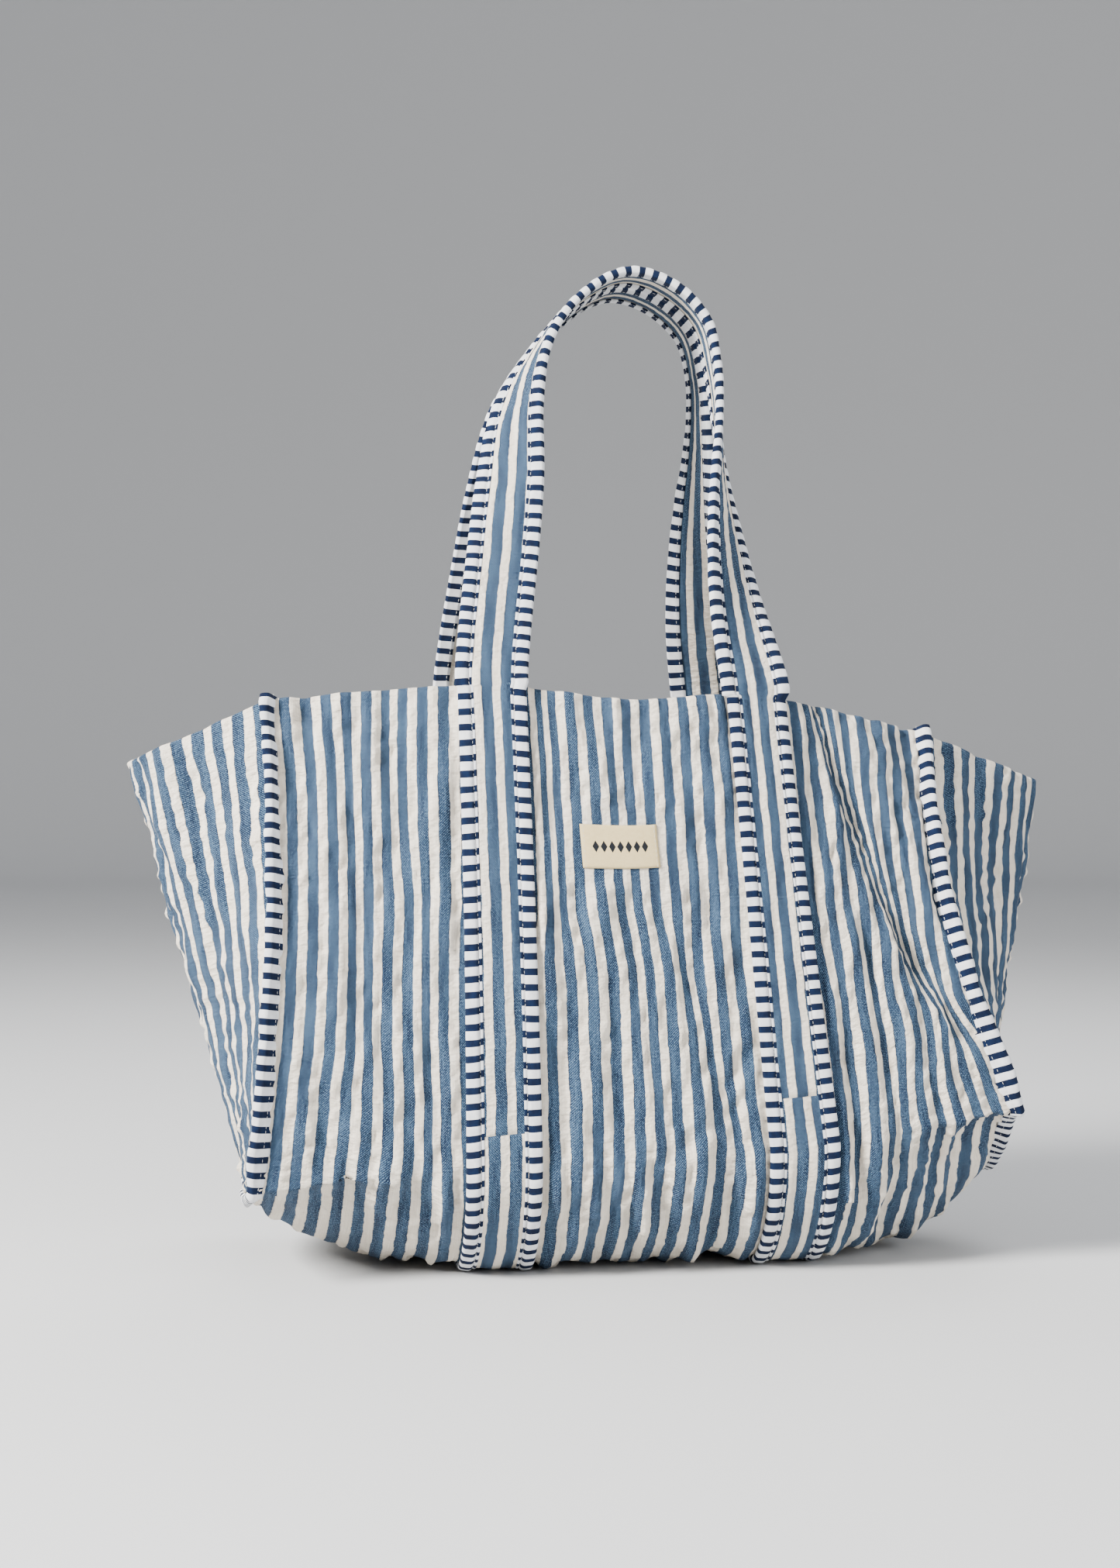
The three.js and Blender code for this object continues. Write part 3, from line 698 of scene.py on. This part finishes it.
def lining_piece(node, face, normal, broad, lines, rows, seed):
    s, g = lines[:, None], rows[None, :]
    loose = 0.0004 * ripples(s, g, 0.06, 0.12, seed)
    with_cloth = broad(s, g)
    here, out = face(s, g + 0 * s), normal(s, g + 0 * s)
    outer = here + out * (with_cloth + lining_out)[..., None]
    inner = here + out * (with_cloth + lining_in - 0.0006 + loose)[..., None]
    made = slab(node + "_cloth", outer, inner, np.stack([s + 0 * g, g + 0 * s], -1))
    made.data.materials.append(lining_cotton)
    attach(made, "bag")
    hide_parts(node)


lining_lines = np.linspace(-half_width + 0.0048, half_width - 0.0048, 150)
lining_rows = np.linspace(hem_depth - 0.003, base_middle, 110)
lining_piece("front_lining", cloth, cloth_normal, front_folds, lining_lines, lining_rows, 71)
lining_piece("back_lining", back_face, back_normal, back_folds, lining_lines, lining_rows, 72)
gusset_lining_lines = np.linspace(-base_depth / 2 + 0.0055, base_depth / 2 - 0.0055, 80)
gusset_lining_rows = np.linspace(hem_depth - 0.003, panel_height - 0.006, 90)
for side, word in enumerate(("left", "right")):
    lining_piece(f"{word}_gusset_lining", gusset_face(side), gusset_normal(side), gusset_folds(side),
                 gusset_lining_lines, gusset_lining_rows, 73 + side)

# ---------------------------------------------------------------- Side seam bindings
# The raw edges of panel and gusset stand outward together, wrapped in a
# navy and white cotton tape that is folded over them and stitched through.
tape_pitch = 0.0086
bar_share = 0.47
bar_phase = 0.2


def striped_tape(name):
    w = Weave(name)
    across, down, uv = w.place()
    wander = w.swing(w.noise(uv, 70, 1), 0.0008)
    # the bars bow a little where the tape is pulled round the edge
    bow = w.times(w.maths("SINE", w.times(across, 210)), 0.00020)
    navy = w.band(w.repeat(w.add(down, wander, bow), tape_pitch, 100 + bar_phase), bar_share, 0.022)
    knit = w.times(w.wave(down, 0.00055), w.wave(across, 0.0005))
    cloud = w.noise(uv, 1.0, 3, (240, 170, 0))
    pale_tone = w.ramp(w.add(w.times(knit, 0.06), cloud), 0.3, 0.7)
    pale = w.blend(pale_tone, (0.78, 0.79, 0.82, 1), (0.92, 0.93, 0.95, 1))
    deep_tone = w.ramp(w.add(w.times(knit, 0.12), cloud), 0.3, 0.75)
    deep = w.blend(deep_tone, (0.0006, 0.0055, 0.026, 1), (0.0018, 0.013, 0.052, 1))
    height = w.add(w.times(knit, 0.5), w.times(cloud, 0.8))
    return w.finish(w.blend(navy, pale, deep), height, 0.00022, rough=0.92, sheen=0.0)


binding = striped_tape("striped_binding_tape")


def bar_bulge(length, height):
    """The white between two navy bars stands a little prouder."""
    return -height * np.cos(2 * np.pi * (length / tape_pitch + bar_phase - bar_share / 2))


roll_stand, roll_thick, roll_girth, roll_overrun = 0.0092, 0.0058, 0.022, 0.0030
lap_foot = 0.0012
fold_share = 0.24


def roll_section(k):
    """A point of the flattened roll, out from the seam and aside; k runs round it from -0.5 to 0.5."""
    half_thick = roll_thick / 2
    way = 1 if k > 0 else -1
    if abs(k) < fold_share:
        angle = abs(k) / fold_share * math.pi / 2
        return roll_stand - half_thick * (1 - math.cos(angle)), way * half_thick * math.sin(angle)
    up_lap = (0.5 - abs(k)) / (0.5 - fold_share)
    stand = (roll_stand + lap_foot) * up_lap - lap_foot - half_thick
    return stand, way * half_thick * (1.25 - 0.25 * up_lap)


around = np.linspace(-0.5, 0.5, 19)
shape = np.array([roll_section(k) for k in around])
seam_rows = []
for side, word in enumerate(("left", "right")):
    edge = (1 if side else -1) * half_width
    g = np.concatenate([np.linspace(0, panel_height - 0.012, 180),
                        panel_height + np.linspace(-0.0105, 0.0105, 27),
                        np.linspace(panel_height + 0.012, half_girth, 54)])
    g = np.concatenate([g, (2 * half_girth - g[:-1])[::-1]])
    # out from the seam: half way between the two cloths, evened out along the tape
    smooth = np.zeros((len(g), 3))
    for shift in np.linspace(-0.012, 0.012, 9):
        here = np.clip(g + shift, 0, 2 * half_girth)
        from_rim = np.minimum(here, 2 * half_girth - here)
        past = np.maximum(0, from_rim - panel_height)
        a = np.where(here <= half_girth, -1, 1) * (base_depth / 2 - past)
        beside = gusset_normal(side)(a, np.minimum(panel_height, from_rim))
        smooth += unit(cloth_normal(edge + 0 * here, here) + beside)
    middle = cloth(edge + 0 * g, g)
    ahead, behind = np.clip(g + 0.002, 0, 2 * half_girth), np.clip(g - 0.002, 0, 2 * half_girth)
    line = unit(cloth(edge + 0 * g, ahead) - cloth(edge + 0 * g, behind))
    out = unit(smooth)
    out = unit(out - line * (out * line).sum(-1, keepdims=True))
    aside = np.cross(line, out)
    # at the base corners the tape is pulled tight round the turn and stands lower
    from_rim = np.minimum(g, 2 * half_girth - g)
    corner = np.exp(-(((from_rim - panel_height) / 0.016) ** 2))
    under = eased(panel_height - 0.004, panel_height + 0.012, from_rim)
    tight = ((1 - 0.42 * corner) * (1 - 0.3 * under))[:, None, None]
    middle[0] -= line[0] * roll_overrun
    middle[-1] += line[-1] * roll_overrun
    # the tape's own length is taken part way up, because it fans out round the corners
    part_up = middle + out * roll_stand * 0.6 * tight[:, 0]
    length = np.concatenate([[0], np.cumsum(np.linalg.norm(np.diff(part_up, axis=0), axis=1))])
    run = length[:, None]
    seed = 81 + side
    fat = 1 + 0.06 * ripples(run, around[None, :] * 0.02, 0.03, 0.02, seed) + bar_bulge(run, 0.055)
    lean = 0.0006 * ripples(length, 0 * length, 0.045, 1.0, seed + 5)
    stand = shape[None, :, :1] * tight * (0.5 + 0.5 * fat[..., None])
    share_up = np.clip(shape[None, :, :1] / roll_stand, 0, 1)
    to_side = shape[None, :, 1:] * fat[..., None] + lean[:, None, None] * share_up
    rows = middle[:, None] + out[:, None] * stand + aside[:, None] * to_side
    uv = np.stack([around[None, :] * roll_girth + 0 * run, run + 0 * around[None, :]], -1)
    uv = np.concatenate([uv, uv[:, :1] + [roll_girth, 0]], 1)
    made = loft(f"{word}_seam_tape", rows, uv)
    made.data.materials.append(binding)
    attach(made, "bag")
    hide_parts(f"{word}_seam_binding")
    seam_rows.append((middle, out, aside))

# ---------------------------------------------------------------- Straps
# Two webs of the striped cloth, each running from under the base up the
# panel, free over the shoulder and down again, with tape over both edges.
strap_gap = 0.0003
strap_low = 0.0014
strap_web = 0.0024
tape_cover = 0.0072
tape = 0.0008
strap_drop = 0.256
crown_gap = 0.0017
handle_line = [
    (-0.96, 0.798, 0.149, 5), (-0.878, 0.516, 0.328, 10), (-0.814, 0.318, 0.484, 24),
    (-0.731, 0.12, 0.68, 55), (-0.546, 0.0264, 0.82, 82), (-0.266, 0, 0.926, 90),
    (0.103, 0, 0.988, 90), (0.447, 0, 0.961, 90), (0.702, 0.00376, 0.887, 90),
    (0.804, 0.0358, 0.777, 88), (0.836, 0.139, 0.625, 80), (0.842, 0.328, 0.461, 62),
    (0.863, 0.516, 0.32, 46), (0.906, 0.723, 0.18, 30),
]


def between(t, start, end, p, q):
    return (end - t) / (end - start) * p + (t - start) / (end - start) * q


def spline(knots, count):
    """A smooth curve through the knots (centripetal), with the knot number at each of its points."""
    knots = np.asarray(knots, float)
    padded = np.vstack([2 * knots[0] - knots[1], knots, 2 * knots[-1] - knots[-2]])
    points, at = [], []
    for n in range(1, len(padded) - 2):
        p0, p1, p2, p3 = padded[n - 1 : n + 3]
        gaps = np.linalg.norm(np.diff(padded[n - 1 : n + 3], axis=0), axis=1)
        t0, t1, t2, t3 = np.concatenate([[0], np.cumsum(np.maximum(gaps, 1e-6) ** 0.5)])
        for h in np.linspace(0, 1, 24, endpoint=n == len(padded) - 3):
            t = t1 + (t2 - t1) * h
            a1, a2 = between(t, t0, t1, p0, p1), between(t, t1, t2, p1, p2)
            a3 = between(t, t2, t3, p2, p3)
            b1, b2 = between(t, t0, t2, a1, a2), between(t, t1, t3, a2, a3)
            points.append(between(t, t1, t2, b1, b2))
            at.append(n - 1 + h)
    points, at = np.array(points), np.array(at)
    run = np.concatenate([[0], np.cumsum(np.linalg.norm(np.diff(points, axis=0), axis=1))])
    even = np.linspace(0, run[-1], count)
    points = np.stack([np.interp(even, run, points[:, k]) for k in range(3)], -1)
    return points, np.interp(even, run, at), run[-1]


def leg_end(way):
    s0 = np.array(way * strap_spacing / 2)
    out = cloth_normal(s0, np.array(0.0))
    down = unit(cloth(s0, 0.0015) - cloth(s0, 0.0))
    across = unit(cloth(s0 + 0.001, 0.0002) - cloth(s0 - 0.001, 0.0002)) * -way
    return {"at": cloth(s0, 0.0) + out * (strap_gap + strap_stack / 2),
            "down": down, "width": across, "out": out,
            "turn": math.asin(max(-1, min(1, -across[1])))}


left_end, right_end = leg_end(-1), leg_end(1)
crown_y = -(strap_half + crown_gap)
knots = [left_end["at"], left_end["at"] - left_end["down"] * 0.008]
foot_y = (left_end["at"][1] + right_end["at"][1]) / 2
for x, y, z, _ in handle_line:
    knots.append([mix(left_end["at"][0], right_end["at"][0], (x + 1) / 2),
                  mix(crown_y, foot_y, y), left_end["at"][2] + strap_drop * z])
knots += [right_end["at"] - right_end["down"] * 0.008, right_end["at"]]
turns = [left_end["turn"]] * 2 + [math.radians(p[3]) for p in handle_line] + [right_end["turn"]] * 2
handle_count = 340
centre, knot_at, handle_length = spline(knots, handle_count)
tangent = unit(np.gradient(centre, axis=0))
tangent[0], tangent[-1] = -left_end["down"], right_end["down"]
turn = along(np.arange(len(turns)), turns, knot_at)[:, None]
inward = unit(np.cross([0, 1, 0], tangent))
width_way = unit(inward * np.cos(turn) - np.cross(tangent, inward) * np.sin(turn))
width_way[0], width_way[-1] = left_end["width"], right_end["width"]
face_way = unit(np.cross(width_way, tangent))
face_way[0], face_way[-1] = left_end["out"], right_end["out"]

seam_across = {"front": (0.246, 0.232), "back": (0.250, 0.240)}
seam_steps = [place + step for places in seam_across.values() for place in places
              for step in (-0.0001, 0.0001)]
leg_rows = np.concatenate([np.linspace(half_girth - 0.00015, 0, 222), seam_steps])
leg_rows = np.sort(leg_rows)[::-1]
leg_count = len(leg_rows)
handle_run = np.linspace(0, handle_length, handle_count)[1:-1]
strap_run = np.concatenate([-leg_rows, handle_run, handle_length + leg_rows[::-1]])


def strap_surface(inner, out):
    """Rows of points along a front strap.

    inner is how far from its middle line towards the inside of the loop, out how far off the cloth.
    """
    inner, out = np.asarray(inner, float)[None, :], np.asarray(out, float)
    out = out if out.ndim == 2 else out[None, :] + 0 * strap_run[:, None]
    rows = []
    s, g = -strap_spacing / 2 + inner + 0 * leg_rows[:, None], leg_rows[:, None] + 0 * inner
    rows.append(cloth(s, g) + cloth_normal(s, g) * out[:leg_count, :, None])
    middle_out = out[leg_count : leg_count + handle_count - 2, :, None] - strap_gap - strap_stack / 2
    across = width_way[1:-1, None] * inner[..., None]
    rows.append(centre[1:-1, None] + across + face_way[1:-1, None] * middle_out)
    s, g = strap_spacing / 2 - inner + 0 * leg_rows[:, None], leg_rows[::-1, None] + 0 * inner
    rows.append(cloth(s, g) + cloth_normal(s, g) * out[-leg_count:, :, None])
    return np.concatenate(rows)


mirror = np.array([1, -1, 1])
web_phase = 0.571
strap_cotton = striped_cotton("strap_striped_cotton", phase=web_phase, share=0.60)
web_steps = np.linspace(-strap_web_half, strap_web_half, 27)
lap = strap_web_half - tape_cover


def tape_ring(way):
    """Section of the folded tape: (towards the loop's inside, out of the cloth)."""
    top, low = strap_stack, strap_gap
    half_high = (top - low) / 2
    # under lap showing as a lip, the sunk stitch line, then the puffed outer lap
    lip_and_lap = [(0.0, -0.0009), (0.0005, -0.0005), (0.0012, -0.0005), (0.0018, -0.0010),
                   (0.0021, -0.0010), (0.0027, -0.0001), (0.0040, 0.0005), (0.0056, 0.0005)]
    ring = [(lap + x, top + z) for x, z in lip_and_lap]
    # round the edge, back along the underside, and up over the web inside the fold
    for a in np.linspace(0, math.pi, 11)[1:-1]:
        x = strap_half - half_high * 0.9 * (1 - math.sin(a))
        ring.append((x, (top + low) / 2 + (half_high + 0.0002) * math.cos(a)))
    ring += [(x, low) for x in np.linspace(strap_half - half_high * 0.8, lap, 4)]
    inside, under_top = strap_web_half + 0.0002, top - tape - 0.0003
    ring += [(lap, low + tape), (inside, low + tape), (strap_web_half + 0.0006, (top + low) / 2),
             (inside, under_top), (lap, under_top)]
    return np.array(ring) * [way, 1]


def bend_at_rim(piece):
    """Bakes the piece's placement into its own mesh."""
    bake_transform(piece)


for back, word in enumerate(("front", "back")):
    seed = 91 + 10 * back
    run = strap_run[:, None]
    left_seam, right_seam = -seam_across[word][0], handle_length + seam_across[word][1]
    puff = 0.00035 * ripples(web_steps[None, :], run, 0.02, 0.05, seed)
    puff = puff + 0.00016 * ripples(web_steps[None, :], run, 0.03, 0.006, seed + 1)
    puff = puff + 0.0005 * np.abs(np.sin(np.pi * (web_steps[None, :] / stripe_pitch + web_phase)))
    # the web is pieced once in each leg, with a sunk seam across it
    for place in (left_seam, right_seam):
        puff = puff - 0.0011 * np.exp(-(((run - place) / 0.0011) ** 2))
    puff = puff * np.clip((lap + 0.001 - np.abs(web_steps[None, :])) / 0.004, 0, 1)
    bottom = strap_surface(web_steps, strap_low - np.clip(puff * 0.4, -0.0006, 0.0004))
    top = strap_surface(web_steps, strap_low + strap_web + puff)
    # the web is cut a little off the stripe, and its pieces don't quite meet at the seams
    drift = 0.0016 * np.sin(run / 0.19 + back)
    drift = drift + np.where(run < left_seam, 0.0042, 0) + np.where(run > right_seam, -0.0035, 0)
    uv = np.stack([web_steps[None, :] + drift, run + 0 * web_steps[None, :]], -1)
    if back:
        top, bottom = top * mirror, bottom * mirror
    web = slab(f"{word}_strap_web", top, bottom, uv)
    web.data.materials.append(strap_cotton)
    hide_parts(f"{word}_handle", f"{word}_left_leg", f"{word}_right_leg")
    bend_at_rim(web)
    for way, edge in ((1, "inner"), (-1, "outer")):
        section = tape_ring(way)
        inner, level = section[None, :, 0], section[None, :, 1]
        upper = level > strap_stack / 2
        tape_run = run + 0.003 * way
        soft = 1 + 0.05 * ripples(inner * 0.4 + level, run, 0.02, 0.022, seed + 3 + way)
        puffed = np.clip((np.abs(inner) - lap - 0.0024) / 0.002, 0, 1) * upper
        out = (level - strap_stack / 2) * soft + strap_stack / 2 + bar_bulge(tape_run, 0.00018) * puffed
        ring = strap_surface(section[:, 0], np.maximum(out, 0.0002))
        if back:
            ring = ring * mirror
        girth = np.concatenate([[0], np.cumsum(np.linalg.norm(np.diff(section, axis=0), axis=1))])
        # the bars on the under lap don't quite meet those on the upper one
        lip = np.where((np.abs(inner) < lap + 0.0020) & upper, 0.0004, 0.0)
        uv = np.stack([girth[None, :] + 0 * run, tape_run - lip], -1)
        uv = np.concatenate([uv, uv[:, :1] + [0.03, 0]], 1)
        made = loft(f"{word}_strap_{edge}_tape", ring, uv)
        made.data.materials.append(binding)
        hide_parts(f"{word}_handle_{edge}_binding", f"{word}_left_leg_{edge}_binding",
                    f"{word}_right_leg_{edge}_binding")
        bend_at_rim(made)

# ---------------------------------------------------------------- Label
# A small cream woven label on the front, turned under at its ends and held
# by a row of stitches down each short side; a row of diamonds is woven in.
label_width, label_height = 0.049, 0.025
label_tilt = math.radians(2)
label_seam = 0.0226


def woven_label(name):
    w = Weave(name)
    across, down, uv = w.place()
    diamond_pitch, diamond_tall, row_half = 0.0052, 0.0042, 0.0180
    cells = w.minus(w.times(w.repeat(across, diamond_pitch, 100.5), 2.0), 1.0)
    diamond = w.add(w.maths("ABSOLUTE", cells), w.maths("ABSOLUTE", w.over(down, diamond_tall)))
    inside = w.minus(1.0, w.ramp(w.maths("ABSOLUTE", across), row_half, row_half + 0.0003))
    ink = w.times(w.minus(1.0, w.ramp(diamond, 0.78, 0.86)), inside)
    knit = w.times(w.wave(down, 0.0004), w.wave(across, 0.00045))
    cloud = w.noise(uv, 1.0, 3, (300, 500, 0))
    ground = w.blend(cloud, (0.84, 0.64, 0.31, 1), (0.97, 0.79, 0.43, 1))
    colour = w.blend(ink, ground, (0.012, 0.014, 0.02, 1))
    return w.finish(colour, w.add(knit, cloud), 0.00012, rough=0.85, sheen=0.0)


a = np.linspace(-label_width / 2, label_width / 2, 40)[:, None]
b = np.linspace(-label_height / 2, label_height / 2, 20)[None, :]
label_s = label_aside + a * math.cos(label_tilt) + b * math.sin(label_tilt)
label_g = label_down - a * math.sin(label_tilt) + b * math.cos(label_tilt)
edge_drop = 0.0006 * np.maximum(eased(0.0225, 0.0245, np.abs(a)), eased(0.0110, 0.0125, np.abs(b)))
stitch_sink = 0.00025 * np.exp(-(((np.abs(a) - label_seam) / 0.0008) ** 2))
face_out = 0.0014 - edge_drop - stitch_sink + 0.00012 * ripples(a, b, 0.02, 0.02, 5)
here, out = cloth(label_s, label_g), cloth_normal(label_s, label_g)
uv = np.stack([a + 0 * b, b + 0 * a], -1)
label = slab("label_cloth", here + out * face_out[..., None], here + out * 0.0003, uv)
label.data.materials.append(woven_label("woven_label"))
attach(label, "bag")
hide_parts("label")

# ---------------------------------------------------------------- Stitching
# White cotton thread: rows through the tape laps of both straps, along the
# foot of the side seam tapes, and down the two short sides of the label.


def thread(name, colour):
    w = Weave(name)
    place = w.node("ShaderNodeTexCoord").outputs["Object"]
    # the twist's relief; where it sinks, the thread's colour is darkened by a fifth as painted shade
    twist_relief_and_shade = w.noise(place, 1800, 1)
    painted_twist_shade = tuple(c * 0.8 for c in colour[:3]) + (1,)
    return w.finish(w.blend(twist_relief_and_shade, painted_twist_shade, colour), twist_relief_and_shade, 0.00008, rough=0.6, sheen=0.1)


white_thread = thread("white_thread", (0.84, 0.84, 0.82, 1))


def stitch_tree():
    tree = bpy.data.node_groups.new("stitch_row", "GeometryNodeTree")
    face = tree.interface
    face.new_socket("Lines", in_out="INPUT", socket_type="NodeSocketGeometry")
    for label_text, value in (("Spacing", 0.003), ("Stitch length", 0.0023), ("Thread radius", 0.00027)):
        face.new_socket(label_text, in_out="INPUT", socket_type="NodeSocketFloat").default_value = value
    face.new_socket("Thread", in_out="INPUT", socket_type="NodeSocketMaterial")
    face.new_socket("Stitches", in_out="OUTPUT", socket_type="NodeSocketGeometry")
    new = tree.nodes.new
    given, result = new("NodeGroupInput"), new("NodeGroupOutput")
    spaced = new("GeometryNodeResampleCurve")
    spaced.mode = "LENGTH"
    # one stitch: a short thread that dips at both ends
    stitch = new("GeometryNodeMeshUVSphere")
    stitch.inputs["Segments"].default_value = 6
    stitch.inputs["Rings"].default_value = 5
    stitch.inputs["Radius"].default_value = 1.0
    long = new("GeometryNodeTransform")
    size = new("ShaderNodeCombineXYZ")
    halved = new("ShaderNodeMath")
    halved.operation = "MULTIPLY"
    halved.inputs[1].default_value = 0.5
    turn_node = new("FunctionNodeAlignEulerToVector")
    turn_node.axis = "Z"
    lie = new("GeometryNodeInputTangent")
    placed = new("GeometryNodeInstanceOnPoints")
    real = new("GeometryNodeRealizeInstances")
    smooth = new("GeometryNodeSetShadeSmooth")
    coloured = new("GeometryNodeSetMaterial")
    for source, outlet, target, inlet in (
        (given, "Lines", spaced, "Curve"),
        (given, "Spacing", spaced, "Length"),
        (stitch, "Mesh", long, "Geometry"),
        (given, "Stitch length", halved, 0),
        (given, "Thread radius", size, 0),
        (given, "Thread radius", size, 1),
        (halved, 0, size, 2),
        (size, 0, long, "Scale"),
        (lie, 0, turn_node, "Vector"),
        (spaced, "Curve", placed, "Points"),
        (long, "Geometry", placed, "Instance"),
        (turn_node, 0, placed, "Rotation"),
        (placed, 0, real, 0),
        (real, 0, smooth, "Geometry"),
        (smooth, 0, coloured, "Geometry"),
        (given, "Thread", coloured, "Material"),
        (coloured, 0, result, 0),
    ):
        tree.links.new(source.outputs[outlet], target.inputs[inlet])
    return tree


stitch_rows = stitch_tree()


def stitched(name, lines, spacing=0.0027, length=0.0017, radius=0.00013):
    """Rows of stitches along the given lines of points, as one plain mesh."""
    curve = bpy.data.curves.new(name + "_lines", "CURVE")
    curve.dimensions = "3D"
    for points in lines:
        strand = curve.splines.new("POLY")
        strand.points.add(len(points) - 1)
        weighted = np.column_stack([points, np.ones(len(points))]).astype(np.float32)
        strand.points.foreach_set("co", weighted.ravel())
    guide = new_object(name + "_lines", curve)
    sewn = guide.modifiers.new("stitches", "NODES")
    sewn.node_group = stitch_rows
    sockets = [item for item in stitch_rows.interface.items_tree if item.in_out == "INPUT"]
    inputs = {item.name: item.identifier for item in sockets}
    sewn[inputs["Spacing"]] = spacing
    sewn[inputs["Stitch length"]] = length
    sewn[inputs["Thread radius"]] = radius
    sewn[inputs["Thread"]] = white_thread
    bpy.context.view_layer.update()
    evaluated = guide.evaluated_get(bpy.context.evaluated_depsgraph_get())
    mesh = bpy.data.meshes.new_from_object(evaluated)
    made = new_object(name, mesh)
    bpy.data.objects.remove(guide)
    return made


stitch_in = lap + 0.00195
for word in ("front", "back"):
    lines = []
    for way in (1, -1):
        for out in (strap_stack - 0.0009, 0.0002):
            line = strap_surface([way * stitch_in], np.array([out]))[:, 0]
            if word == "back":
                line = line * mirror
            if out < 0.001:
                line = line[leg_count + 2 : leg_count + handle_count - 4]
            lines.append(line)
    made = stitched(f"{word}_strap_stitches", lines)
    bend_at_rim(made)

lines = []
for middle, out, aside in seam_rows:
    for way in (1, -1):
        lines.append(middle + out * 0.0011 + aside * way * roll_thick * 0.60)
for end in (-1, 1):
    b = np.linspace(-label_height / 2 + 0.001, label_height / 2 - 0.001, 20)
    a = end * label_seam
    s = label_aside + a * math.cos(label_tilt) + b * math.sin(label_tilt)
    g = label_down - a * math.sin(label_tilt) + b * math.cos(label_tilt)
    lines.append(cloth(s, g) + cloth_normal(s, g) * 0.00125)
bag_stitches = stitched("bag_stitches", lines)
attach(bag_stitches, "bag")
